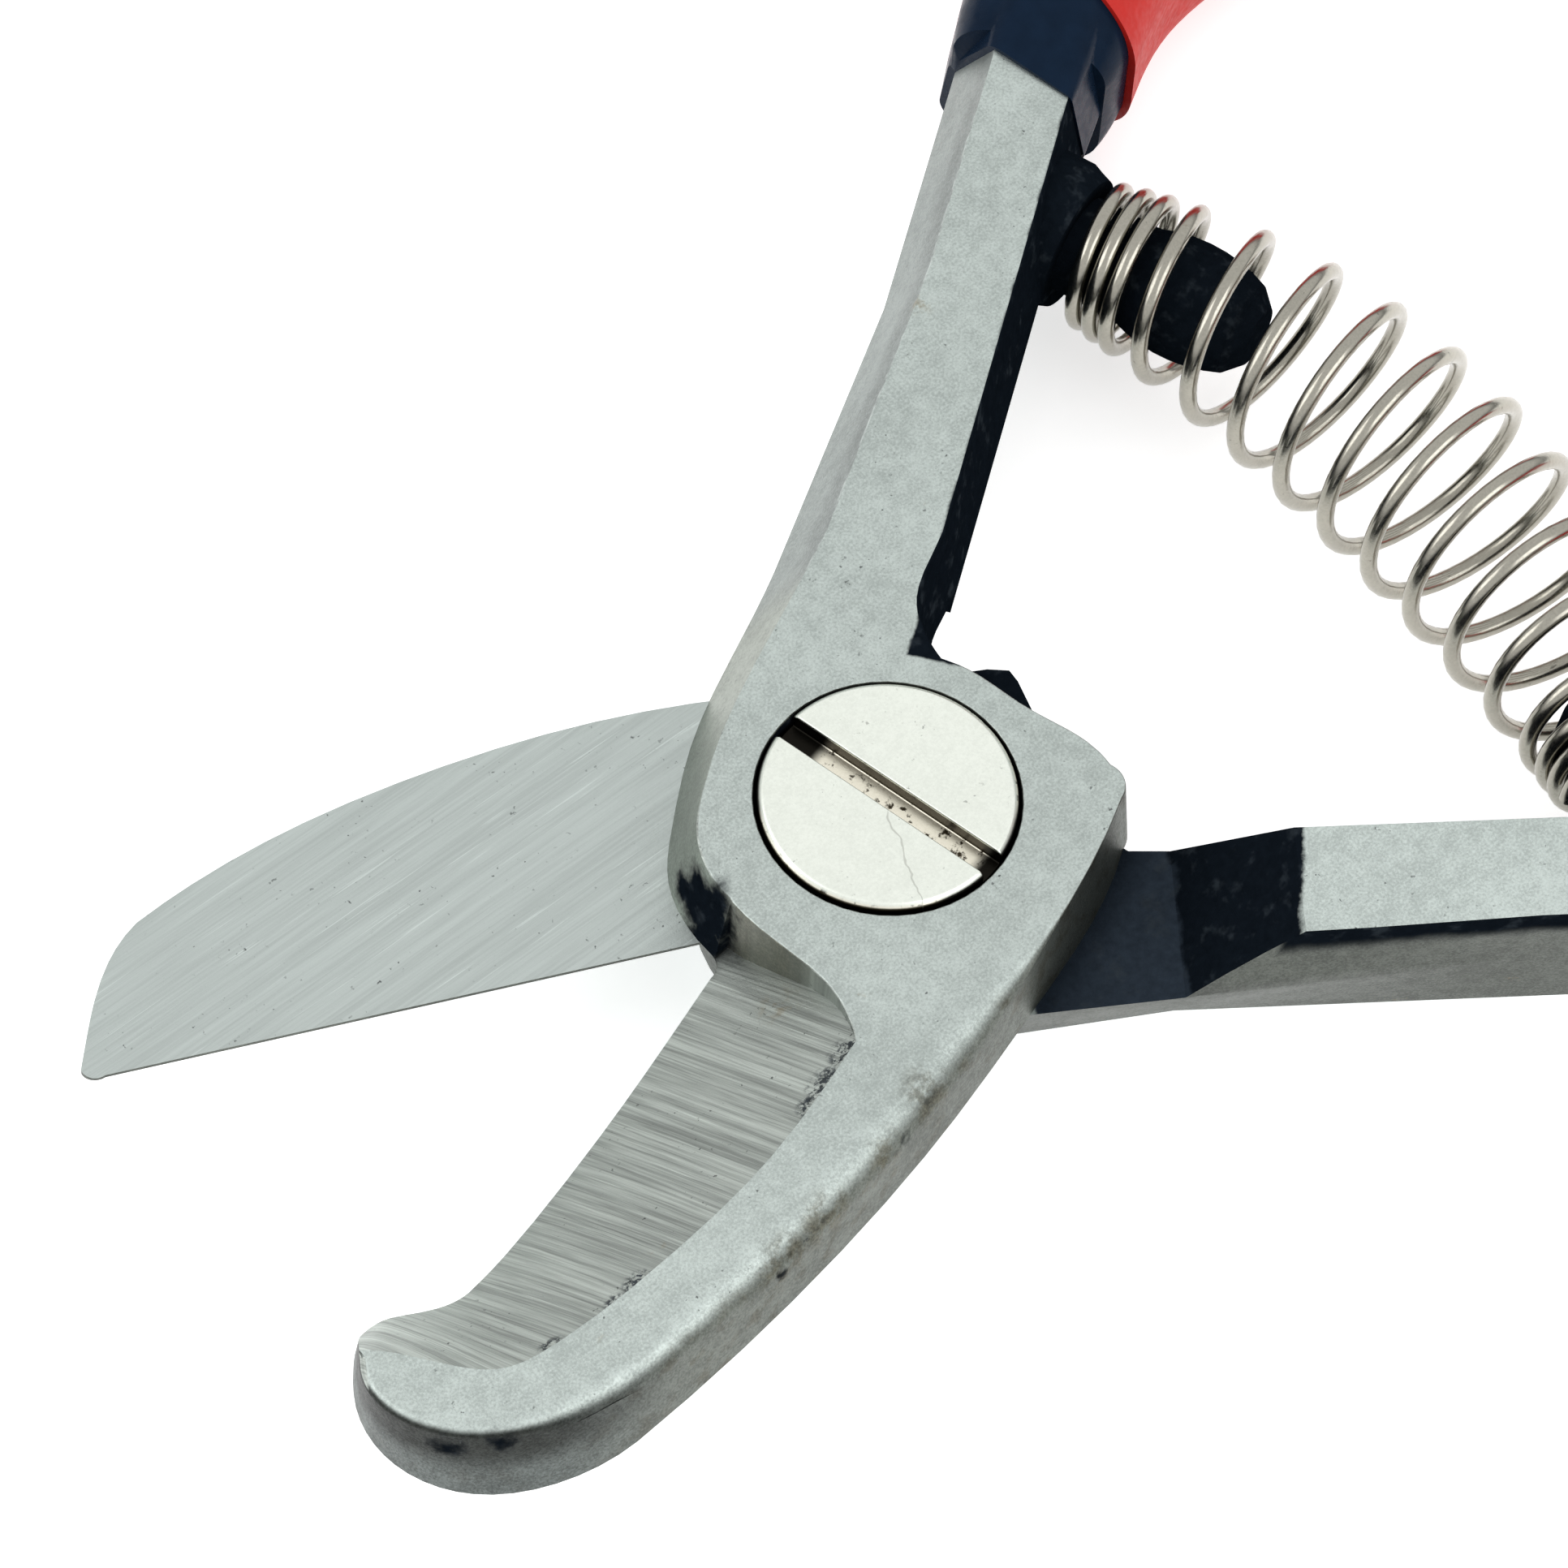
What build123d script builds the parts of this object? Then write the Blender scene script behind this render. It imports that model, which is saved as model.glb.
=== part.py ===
from build123d import *
from math import asin, cos, pi, radians, sin, sqrt
import os

# Pruning shears, millimetres. The pivot axis is the Z axis, the jaws point to +X and the
# handles to -X. The hook half lies on top, the blade half below, and both halves slide on
# each other in the shear plane. The shears lie on the flat of the pivot nut and on the grips.

# Driving dimensions of the two forged halves
SHEAR_Z = 9.5
HALF_THICK = 6.5
HANDLE_ANGLE = 36.0
CLOSING_ANGLE = 33.0
HOOK_LAND = 0.4
BLADE_THICK = 3.8
BLADE_LAND = 0.3
BLADE_BEVEL_WIDTH = 10.0
BLADE_BOSS_RADIUS = 13.4
BOSS_DRAFT = 6.0
RAMP_START = 19.0
RAMP_RUN = 7.4
STUB_END = 42.0
HOOK_NECK = 21.0

# Pivot hardware
SHANK_RADIUS = 5.0
THREAD_RADIUS = 4.0
RUNNING_GAP = 0.05
HEAD_RADIUS = 8.6
HEAD_PROUD = 0.5
HEAD_THICK = 2.8
HEAD_CHAMFER = 0.35
COUNTERBORE_RADIUS = 8.85
SLOT_WIDTH = 1.9
SLOT_DEPTH = 1.3
SLOT_ANGLE = -77.0
WASHER_THICK = 0.7
WASHER_RADIUS = 8.4
SPOT_FACE_DEPTH = 1.0
SPOT_FACE_RADIUS = 9.5
LOCK_WASHER_THICK = 1.0
LOCK_WASHER_RADIUS = 7.4
LOCK_WASHER_SPLIT = 1.2
NUT_ACROSS_FLATS = 13.0
NUT_CHAMFER = 0.5
BOLT_END = 0.3

# Spring and the two forged pegs that carry it
WIRE_RADIUS = 0.62
COIL_RADIUS_END = 4.7
COIL_RADIUS_MIDDLE = 7.55
COIL_COUNT = 15.5
CLOSE_PITCH = 1.55
CLOSE_TURNS = 2.2
OPENING_TURNS = 1.6
SPRING_BOW = 5.5
SPRING_END_GAP = 0.75
PEG_ALONG = 51.5
PEG_LEAN = 17.5
HOOK_PEG_LENGTH = 16.0
BLADE_PEG_LENGTH = 9.5
PEG_ROOT = 4.0
PEG_SEAT = 1.55
PEG_SEAT_RADIUS = 4.9
PEG_FLARE_RADIUS = 5.5
PEG_NECK_RADIUS = 3.6
PEG_NECK_SHARE = 0.4
PEG_BULB_RADIUS = 4.3
PEG_BULB_SHARE = 0.62
PEG_END_RADIUS = 3.4
PEG_END_ROUND = 1.2

# Handles: straight tang, two bends inwards, straight end with the catch tab
HOOK_TANG_INNER = 0.0
HOOK_FACE_INNER = 1.3
HOOK_FACE_OUTER = 7.3
BLADE_TANG_INNER = 1.2
BLADE_FACE_INNER = 2.2
BLADE_FACE_OUTER = 9.7
TANG_OUTER = 10.3
TANG_BACK_INNER = 3.5
TANG_BACK_OUTER = 10.9
ROOT_OUTER = 12.3
ROOT_BACK_OUTER = 11.5
ROOT_FACE_OUTER = 8.9
TANG_CENTRE = 5.6
GRIP_START = 59.5
TANG_IN_GRIP = 5.5
CORE_START = 3.5
FIRST_BEND_RADIUS = 65.0
FIRST_BEND = 19.5
SECOND_BEND_RADIUS = 100.0
SECOND_BEND = 27.0
END_RUN = 10.0
TAB_LENGTH = 10.0
CORE_WIDTH = 8.0
CORE_THICK = 7.5
TAB_CORNER = 3.6
COLLAR_START = 57.0
COLLAR_LENGTH = 10.5
COLLAR_FRONT_WALL = 0.12
COLLAR_FRONT_ROUND = 0.25
COLLAR_BACK_WALL = 0.9
COLLAR_BACK_ROUND = 1.8
COLLAR_MIDDLE = 60.3
COLLAR_SLANT = 0.45
COLLAR_TILT = 0.12
COVER_START = 9.7
COVER_SLANT = 0.35
COVER_END_SETBACK = 5.0

# Wire catch on the end of the hook half
BAIL_WIRE_RADIUS = 1.2
BAIL_HOLE_GAP = 0.08
BAIL_HOLE_ALONG = 5.5
BAIL_LEG_GAP = 0.4
BAIL_PIN_DEPTH = 2.6
BAIL_PIN_CORNER = 1.5
BAIL_BAR_CORNER = 1.6
BAIL_SEAT = 4.9
NOTCH_GAP = 0.45

# Distance that lies outside every forging
CLEAR_OF_ALL = 70.0

# Heights and lengths that follow from them
HOOK, BLADE = 1, -1
HOOK_TOP = SHEAR_Z + HALF_THICK
BLADE_BOTTOM = SHEAR_Z - HALF_THICK
HEAD_TOP = HOOK_TOP + HEAD_PROUD
HEAD_UNDERSIDE = HEAD_TOP - HEAD_THICK
WASHER_BOTTOM = HEAD_UNDERSIDE - WASHER_THICK
NUT_SEAT = BLADE_BOTTOM + SPOT_FACE_DEPTH
NUT_TOP = NUT_SEAT - LOCK_WASHER_THICK
FIRST_BEND_LENGTH = FIRST_BEND_RADIUS * radians(FIRST_BEND)
BENDS_LENGTH = FIRST_BEND_LENGTH + SECOND_BEND_RADIUS * radians(SECOND_BEND)
SLEEVE_LENGTH = BENDS_LENGTH + END_RUN
HANDLE_LENGTH = SLEEVE_LENGTH + TAB_LENGTH

# Outer size of a grip: share of its length, shift to the outside, width in the plane of the tool,
# thickness, corner radius
SLEEVE_SECTIONS = [(0.04, -0.55, 11.2, 12.8, 3.4), (0.12, -0.35, 12.9, 15.0, 5.4), (0.18, 0, 13.2, 15.8, 5.8),
                   (0.3, 0, 15.2, 16.4, 6.2), (0.57, 0, 15.8, 16.8, 6.4), (0.87, 0, 14.6, 16.0, 5.8),
                   (1, 0, 14.0, 15.4, 5.6)]
COVER_SECTIONS = [(0.04, -0.9, 12.6, 14.2, 5.2), (0.12, -0.35, 14.1, 16.2, 6.3), (0.18, 0, 14.7, 17.1, 6.7),
                  (0.3, 0, 17.4, 18.2, 7.1), (0.57, 0, 18.2, 18.5, 7.3), (0.87, 0, 16.8, 18.0, 6.7),
                  (1, 0, 15.6, 17.4, 6.2)]

# Ground bevel of the hook: matching points on its cutting edge and on its top edge, tip first
HOOK_BEVEL = [((50.5, 4.5), (54.5, 8.2)), ((48.9, 6.9), (51.0, 10.6)), ((47.0, 7.2), (48.6, 13.6)),
              ((44.8, 8.3), (45.8, 16.6)), ((41.5, 8.75), (42.5, 17.4)), ((33.0, 6.7), (33.0, 17.2)),
              ((24.0, 3.8), (24.0, 15.9)), ((15.0, 0.6), (15.0, 13.2)), ((5.0, -3.0), (5.0, 9.4))]


def directions(half):
    """Unit vectors along a straight tang, away from the pivot, and outward from it."""
    heading = radians(180 + half * HANDLE_ANGLE)
    ahead = Vector(cos(heading), sin(heading))
    outside = Vector(-sin(heading), cos(heading)) * half
    return ahead, outside


def tang_point(half, along, outward):
    """Point of a tang in plan: along it from the pivot, outward from the pivot line."""
    ahead, outside = directions(half)
    point = ahead * along + outside * outward
    return (point.X, point.Y)


def grip_plane(half, along):
    """Plane square to the grip's centre line, at a distance along it from its front end."""
    ahead, outside = directions(half)
    point = ahead * GRIP_START + outside * TANG_CENTRE
    for radius, bend in [(FIRST_BEND_RADIUS, FIRST_BEND), (SECOND_BEND_RADIUS, SECOND_BEND)]:
        turn = max(0, min(radians(bend), along / radius))
        point = point + ahead * (radius * sin(turn)) - outside * (radius * (1 - cos(turn)))
        turned_ahead = ahead * cos(turn) - outside * sin(turn)
        outside = outside * cos(turn) + ahead * sin(turn)
        ahead = turned_ahead
        along = along - radius * turn
    point = point + ahead * along
    return Plane(origin=(point.X, point.Y, SHEAR_Z), x_dir=outside, z_dir=ahead)


def grip_point(half, along, outward):
    """Point beside the grip's centre line, at the height of the shear plane."""
    plane = grip_plane(half, along)
    return plane.origin + plane.x_dir * outward


def draw(*runs):
    """One outline: two points make a line, three an arc, more a smooth curve."""
    for run in runs:
        if len(run) == 2:
            Line(*run)
        elif len(run) == 3:
            ThreePointArc(*run)
        else:
            Spline(*run)


def tang_section(half):
    """Section of a tang: distance outward from the pivot line, height on its own half's side."""
    if half == HOOK:
        inner, face_inner, face_outer = HOOK_TANG_INNER, HOOK_FACE_INNER, HOOK_FACE_OUTER
    else:
        inner, face_inner, face_outer = BLADE_TANG_INNER, BLADE_FACE_INNER, BLADE_FACE_OUTER
    return [(inner, 0), (TANG_BACK_INNER, -HALF_THICK), (TANG_BACK_OUTER, -HALF_THICK), (TANG_OUTER, 0),
            (face_outer, HALF_THICK), (face_inner, HALF_THICK)]


def peg_axis(half):
    """Foot of a spring peg beside the inner side of its tang, and its direction."""
    ahead, outside = directions(half)
    foot = ahead * PEG_ALONG + Vector(0, 0, SHEAR_Z)
    axis = -ahead * sin(radians(PEG_LEAN)) - outside * cos(radians(PEG_LEAN))
    return foot, axis


def make_tang(half):
    """Bar of a half with the ramp at its root, the bent core inside its grip, and its spring peg."""
    ahead, outside = directions(half)
    root = ahead * RAMP_START + Vector(0, 0, SHEAR_Z)
    stub = ahead * STUB_END + Vector(0, 0, SHEAR_Z)
    front = grip_plane(half, CORE_START)
    middle = grip_plane(half, FIRST_BEND_LENGTH)
    back = grip_plane(half, BENDS_LENGTH)
    tip = grip_plane(half, HANDLE_LENGTH)
    foot, axis = peg_axis(half)
    peg_length = HOOK_PEG_LENGTH if half == HOOK else BLADE_PEG_LENGTH
    section = tang_section(half)
    root_section = [section[0], section[1], (ROOT_BACK_OUTER, -HALF_THICK), (ROOT_OUTER, 0)]
    with BuildPart() as tang:
        with BuildSketch(Plane(origin=root, x_dir=outside, z_dir=ahead)):
            Polygon(*root_section, align=None)
        with BuildSketch(Plane(origin=stub, x_dir=outside, z_dir=ahead)):
            Polygon(*section[:4], align=None)
        loft(ruled=True)
        with BuildSketch(Plane(origin=root, x_dir=ahead, z_dir=outside)):
            Polygon((-1, 0), (0, 0), (RAMP_RUN, HALF_THICK), (RAMP_RUN, 2 * HALF_THICK),
                    (-1, 2 * HALF_THICK), align=None)
        extrude(amount=2 * TANG_OUTER, both=True, mode=Mode.SUBTRACT)
        with BuildSketch(Plane(origin=stub, x_dir=outside, z_dir=ahead)):
            Polygon(*section, align=None)
        extrude(amount=GRIP_START + TANG_IN_GRIP - STUB_END)
        with BuildLine():
            TangentArc(front.origin, middle.origin, tangent=front.z_dir)
            TangentArc(middle.origin, back.origin, tangent=middle.z_dir)
            Line(back.origin, tip.origin)
        with BuildSketch(front):
            Rectangle(CORE_WIDTH, CORE_THICK)
        sweep()
        tip_corners = edges().filter_by(Axis.Z).sort_by_distance(tip.origin)[:2]
        fillet(tip_corners, TAB_CORNER)
        with BuildSketch(Plane(origin=foot, x_dir=(0, 0, 1), z_dir=Vector(0, 0, 1).cross(axis))):
            with BuildLine():
                neck_end = (PEG_NECK_RADIUS, PEG_NECK_SHARE * peg_length)
                bulb_middle = (PEG_BULB_RADIUS, PEG_BULB_SHARE * peg_length)
                bulb_end = (PEG_END_RADIUS, peg_length - PEG_END_ROUND)
                end_rim = (PEG_END_RADIUS - PEG_END_ROUND, peg_length)
                draw([(0, -PEG_ROOT), (PEG_FLARE_RADIUS, -PEG_ROOT)],
                     [(PEG_FLARE_RADIUS, -PEG_ROOT), (PEG_FLARE_RADIUS, 0)],
                     [(PEG_FLARE_RADIUS, 0), (PEG_SEAT_RADIUS, PEG_SEAT)],
                     [(PEG_SEAT_RADIUS, PEG_SEAT), (PEG_NECK_RADIUS, PEG_SEAT)],
                     [(PEG_NECK_RADIUS, PEG_SEAT), neck_end],
                     [neck_end, bulb_middle, bulb_end],
                     [bulb_end, end_rim],
                     [end_rim, (0, peg_length)],
                     [(0, peg_length), (0, -PEG_ROOT)])
            make_face()
        revolve(axis=Axis(foot, axis))
    return tang.part


def grip_body(half, sections):
    """Rounded body of a grip, from its front end to the end of the sleeve."""
    with BuildPart() as body:
        for share, shift, width, thickness, corner in sections:
            with BuildSketch(grip_plane(half, share * SLEEVE_LENGTH)):
                with Locations((shift, 0)):
                    RectangleRounded(width, thickness, corner)
        loft()
    return body.part


def bevel_outline(height):
    """Space beside the hook's ground bevel, cut level at one height above the shear plane."""
    share = (height - HOOK_LAND) / (HALF_THICK - HOOK_LAND)
    curve = [(x0 + (x1 - x0) * share, y0 + (y1 - y0) * share) for (x0, y0), (x1, y1) in HOOK_BEVEL]
    tip_y, root_x = curve[0][1], curve[-1][0]
    with BuildSketch(Plane.XY.offset(SHEAR_Z + height)) as outline:
        with BuildLine():
            draw(curve,
                 [curve[-1], (root_x, -CLEAR_OF_ALL)],
                 [(root_x, -CLEAR_OF_ALL), (CLEAR_OF_ALL, -CLEAR_OF_ALL)],
                 [(CLEAR_OF_ALL, -CLEAR_OF_ALL), (CLEAR_OF_ALL, tip_y)],
                 [(CLEAR_OF_ALL, tip_y), curve[0]])
        make_face()
    return outline.sketch


# Space that the grinding wheel left beside the hook: bevel, and the wall where the wheel stopped
bevel_below, bevel_above = bevel_outline(-1.0), bevel_outline(HALF_THICK + 1.0)
with BuildPart() as bevel_space:
    loft(sections=[bevel_below, bevel_above], ruled=True)
    with BuildSketch(Plane.XY.offset(SHEAR_Z - 2)):
        with BuildLine():
            wall_top, wall_foot = (16.0, 16.5), (13.0, -0.4)
            draw([wall_top, (13.3, 12.6), (12.1, 9.0), (12.6, 4.0), wall_foot],
                 [wall_foot, (CLEAR_OF_ALL, wall_foot[1])],
                 [(CLEAR_OF_ALL, wall_foot[1]), (CLEAR_OF_ALL, CLEAR_OF_ALL)],
                 [(CLEAR_OF_ALL, CLEAR_OF_ALL), (wall_top[0], CLEAR_OF_ALL)],
                 [(wall_top[0], CLEAR_OF_ALL), wall_top])
        make_face()
    extrude(amount=2 * HALF_THICK, mode=Mode.INTERSECT)

hook_tang, blade_tang = make_tang(HOOK), make_tang(BLADE)

# Hook half: forged boss, hooked counter jaw, tang, core and peg in one piece
with BuildPart() as hook_forging:
    with BuildSketch(Plane.XY.offset(SHEAR_Z)):
        with BuildLine():
            stub_in = tang_point(HOOK, STUB_END, HOOK_TANG_INNER)
            stub_out = tang_point(HOOK, STUB_END, TANG_OUTER)
            root_out = tang_point(HOOK, RAMP_START, ROOT_OUTER)
            neck = tang_point(HOOK, HOOK_NECK, HOOK_TANG_INNER)
            notch = (-10.2, -6.2)
            draw([stub_in, neck],
                 [neck, tang_point(HOOK, 17.2, 0.6), tang_point(HOOK, 15.3, 0.5), (-11.4, -8.1), notch],
                 [notch, (-11.3, -3.8), (-12.3, 0.3), (-13.6, 5.2), (-13.6, 7.3)],
                 [(-13.6, 7.3), (-13.5, 9.1), (-12.3, 10.1)],
                 [(-12.3, 10.1), (-8.8, 12.2), (0, 15.5), (10, 18.6), (25, 21.8), (40, 23.4)],
                 [(40, 23.4), (46.5, 22.2), (51, 19), (53, 14.2), (52.5, 10.8), (50.9, 8.3), (49.1, 6.9),
                  (47, 7.2), (44.8, 8.3), (41.5, 8.75)],
                 [(41.5, 8.75), (33, 6.7), (24, 3.8), (15.4, 0.7)],
                 [(15.4, 0.7), (14.4, 0.1), (14.1, -1)],
                 [(14.1, -1), (14, -3.4), (12.9, -6.7), (10, -9.9), (5, -14), (-3, -18.4), root_out],
                 [root_out, stub_out],
                 [stub_out, stub_in])
        make_face()
    with BuildSketch(Plane.XY.offset(HOOK_TOP)):
        with BuildLine():
            stub_in = tang_point(HOOK, STUB_END, HOOK_FACE_INNER)
            stub_out = tang_point(HOOK, STUB_END, HOOK_FACE_OUTER)
            root_out = tang_point(HOOK, RAMP_START, ROOT_FACE_OUTER)
            neck = tang_point(HOOK, HOOK_NECK, HOOK_FACE_INNER)
            notch = (-9.7, -6.0)
            draw([stub_in, neck],
                 [neck, tang_point(HOOK, 17.2, 1.8), tang_point(HOOK, 15.3, 1.7), (-10.5, -9.0), notch],
                 [notch, (-10.7, -3.8), (-11.6, 0.2), (-13.1, 5.2), (-13.1, 7.2)],
                 [(-13.1, 7.2), (-13.0, 8.8), (-12, 9.6)],
                 [(-12, 9.6), (-8.5, 11.5), (0, 15), (10, 18.2), (25, 21.2), (39, 22.3)],
                 [(39, 22.3), (46, 21), (50.3, 18.3), (52.6, 14.4), (52.6, 11.8), (51.3, 9.7), (49.3, 8.0),
                  (47, 7.5), (44.8, 8.3), (41.5, 8.75)],
                 [(41.5, 8.75), (33, 6.7), (24, 3.8), (15.4, 0.7)],
                 [(15.4, 0.7), (13.6, 0.5), (12.9, -0.6)],
                 [(12.9, -0.6), (12.6, -3.5), (11.5, -5.7), (9, -8.1), (5, -10.8), (-3, -14.9), root_out],
                 [root_out, stub_out],
                 [stub_out, stub_in])
        make_face()
    loft(ruled=True)
    add(hook_tang)
    add(bevel_space.part, mode=Mode.SUBTRACT)
    with Locations((0, 0, HOOK_TOP)):
        CounterBoreHole(SHANK_RADIUS + RUNNING_GAP, COUNTERBORE_RADIUS, HOOK_TOP - WASHER_BOTTOM)
    with Locations(grip_plane(HOOK, SLEEVE_LENGTH + BAIL_HOLE_ALONG).origin + Vector(0, 0, CORE_THICK / 2)):
        Hole(BAIL_WIRE_RADIUS + BAIL_HOLE_GAP)

# Blade half: flat-faced blade ground from below, boss, shoulder, neck, tang, core and peg in one piece
BLADE_TIP_EDGE, BLADE_HEEL_EDGE = (50.4, -18.4), (12.6, -1.3)
heel, tip = Vector(*BLADE_HEEL_EDGE), Vector(*BLADE_TIP_EDGE)
edge_direction = (tip - heel).normalized()
with BuildPart() as blade_forging:
    with BuildSketch(Plane.XY.offset(SHEAR_Z)):
        with BuildLine():
            draw([(-3, -12.9), (2.3, -16.2), (11.4, -20.5), (20.5, -23.5), (29.5, -25.5), (42, -26.2)],
                 [(42, -26.2), (45.2, -25), (48.5, -22.5), (51.4, -19.7)],
                 [(51.4, -19.7), (51.3, -18.9), BLADE_TIP_EDGE],
                 [BLADE_TIP_EDGE, BLADE_HEEL_EDGE],
                 [BLADE_HEEL_EDGE, (0, 0)],
                 [(0, 0), (-3, -12.9)])
        make_face()
    extrude(amount=-BLADE_THICK)
    with BuildSketch(Plane(origin=heel + Vector(0, 0, SHEAR_Z), x_dir=(0, 0, -1), z_dir=-edge_direction)):
        slope = (BLADE_THICK - BLADE_LAND) / BLADE_BEVEL_WIDTH
        Polygon((BLADE_LAND - slope, -1), (BLADE_THICK + slope, BLADE_BEVEL_WIDTH + 1), (2 * HALF_THICK, -1),
                align=None)
    extrude(amount=-CLEAR_OF_ALL, mode=Mode.SUBTRACT)
    with BuildSketch(Plane.XY.offset(SHEAR_Z)):
        Circle(BLADE_BOSS_RADIUS)
    extrude(amount=-HALF_THICK, taper=BOSS_DRAFT)
    with BuildSketch(Plane.XY.offset(SHEAR_Z)):
        Polygon((-12.6, 3), (-14.7, -2), (-15.4, -4.2), (-15.5, -5.2), (-14.4, -6.2), (-12.6, -7.2),
                (-8, -10), (0, 0), align=None)
    extrude(amount=-HALF_THICK, taper=BOSS_DRAFT)
    with BuildSketch(Plane.XY.offset(SHEAR_Z)):
        stub_in = tang_point(BLADE, STUB_END, BLADE_TANG_INNER)
        stub_out = tang_point(BLADE, STUB_END, TANG_OUTER)
        root_in = tang_point(BLADE, RAMP_START, BLADE_TANG_INNER)
        root_out = tang_point(BLADE, RAMP_START, ROOT_OUTER)
        Polygon(stub_in, root_in, (-12.5, 10.4), (-11.6, 7), (0, 0), (10.5, 8), (0.7, 15.7),
                root_out, stub_out, align=None)
    with BuildSketch(Plane.XY.offset(BLADE_BOTTOM)):
        stub_in = tang_point(BLADE, STUB_END, BLADE_FACE_INNER)
        stub_out = tang_point(BLADE, STUB_END, BLADE_FACE_OUTER)
        root_in = tang_point(BLADE, RAMP_START, BLADE_FACE_INNER)
        root_out = tang_point(BLADE, RAMP_START, BLADE_FACE_OUTER)
        Polygon(stub_in, root_in, (-11.7, 11), (-10.7, 7), (0, 0), (9.8, 7.4), (-0.5, 13.9),
                root_out, stub_out, align=None)
    loft(ruled=True)
    add(blade_tang)
    with Locations(Location((0, 0, BLADE_BOTTOM), (180, 0, 0))):
        CounterBoreHole(THREAD_RADIUS, SPOT_FACE_RADIUS, SPOT_FACE_DEPTH)
    notch = grip_point(BLADE, SLEEVE_LENGTH + BAIL_HOLE_ALONG, BAIL_SEAT)
    with Locations(notch + Vector(0, 0, CORE_THICK / 2)):
        Hole(BAIL_WIRE_RADIUS + NOTCH_GAP)

# Slotted pivot bolt: its shank turns in the hook half and its thread holds the blade half
with BuildPart() as pivot_bolt:
    with BuildSketch(Plane.XY.offset(HEAD_UNDERSIDE)):
        Circle(HEAD_RADIUS)
    extrude(amount=HEAD_THICK)
    chamfer(faces().sort_by(Axis.Z)[-1].edges(), HEAD_CHAMFER)
    with BuildSketch(Plane.XY.offset(HEAD_TOP)):
        Rectangle(3 * HEAD_RADIUS, SLOT_WIDTH, rotation=SLOT_ANGLE)
    extrude(amount=-SLOT_DEPTH, mode=Mode.SUBTRACT)
    with BuildSketch(Plane.XY.offset(SHEAR_Z)):
        Circle(SHANK_RADIUS)
    extrude(amount=HEAD_UNDERSIDE - SHEAR_Z)
    with BuildSketch(Plane.XY.offset(BOLT_END)):
        Circle(THREAD_RADIUS)
    extrude(amount=SHEAR_Z - BOLT_END)

# Flat washer under the bolt head, inside the counterbore
with BuildPart() as thrust_washer:
    with BuildSketch(Plane.XY.offset(WASHER_BOTTOM)):
        Circle(WASHER_RADIUS)
        Circle(SHANK_RADIUS, mode=Mode.SUBTRACT)
    extrude(amount=WASHER_THICK)

# Split lock washer and thin nut on the back of the blade half
with BuildPart() as lock_washer:
    with BuildSketch(Plane.XY.offset(NUT_TOP)):
        Circle(LOCK_WASHER_RADIUS)
        Circle(THREAD_RADIUS, mode=Mode.SUBTRACT)
        with Locations((0, LOCK_WASHER_RADIUS)):
            Rectangle(LOCK_WASHER_SPLIT, LOCK_WASHER_RADIUS, mode=Mode.SUBTRACT)
    extrude(amount=LOCK_WASHER_THICK)

with BuildPart() as pivot_nut:
    with BuildSketch():
        RegularPolygon(NUT_ACROSS_FLATS / 2, 6, major_radius=False)
        Circle(THREAD_RADIUS, mode=Mode.SUBTRACT)
    extrude(amount=NUT_TOP)
    nut_rim = faces().sort_by(Axis.Z)[0].outer_wire().edges()
    chamfer(nut_rim, NUT_CHAMFER)

# Barrel spring: its axis bows away from the pivot between the two pegs
peg_foot, peg_direction = peg_axis(HOOK)
spring_start = peg_foot + peg_direction * (PEG_SEAT + WIRE_RADIUS + SPRING_END_GAP)
bow_radius = (spring_start.Y ** 2 + SPRING_BOW ** 2) / (2 * SPRING_BOW)
bow_centre = spring_start.X - SPRING_BOW + bow_radius
bow_half_angle = asin(-spring_start.Y / bow_radius)
axis_length = 2 * bow_radius * bow_half_angle
open_turns = COIL_COUNT - 2 * CLOSE_TURNS - OPENING_TURNS
open_pitch = CLOSE_PITCH + (axis_length - COIL_COUNT * CLOSE_PITCH) / open_turns


def opened(turn):
    """Turns wound at the open pitch so far, where the pitch eases from close to open after a turn."""
    share = turn / OPENING_TURNS
    if share < 0:
        return 0
    if share > 1:
        return OPENING_TURNS * (share - 0.5)
    return OPENING_TURNS * (share ** 3 - share ** 4 / 2)


def spring_point(turn):
    """Point on the middle of the wire after a number of turns from the hook half's peg."""
    wound_open = opened(turn - CLOSE_TURNS) - opened(turn - COIL_COUNT + CLOSE_TURNS + OPENING_TURNS)
    run = CLOSE_PITCH * turn + (open_pitch - CLOSE_PITCH) * wound_open
    bow = run / bow_radius - bow_half_angle
    radius = COIL_RADIUS_MIDDLE - (COIL_RADIUS_MIDDLE - COIL_RADIUS_END) * (bow / bow_half_angle) ** 2
    outside = Vector(-cos(bow), sin(bow))
    wound = 2 * pi * turn
    middle = Vector(bow_centre, 0, SHEAR_Z) + outside * bow_radius
    return middle + outside * (radius * cos(wound)) + Vector(0, 0, radius * sin(wound))


def spring_direction(turn, step=0.001):
    """Direction of the wire after a number of turns."""
    return (spring_point(turn + step) - spring_point(turn - step)).normalized()


def add_biarc(start, start_direction, end, end_direction):
    """Two arcs that leave one point and reach another in given directions."""
    span = end - start
    both = start_direction + end_direction
    spread = 2 * (1 - start_direction.dot(end_direction))
    reach = (sqrt(span.dot(both) ** 2 + spread * span.dot(span)) - span.dot(both)) / spread
    first_corner = start + start_direction * reach
    second_corner = end - end_direction * reach
    joint = (first_corner + second_corner) * 0.5
    TangentArc(start, joint, tangent=start_direction)
    TangentArc(joint, end, tangent=second_corner - first_corner)


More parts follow.
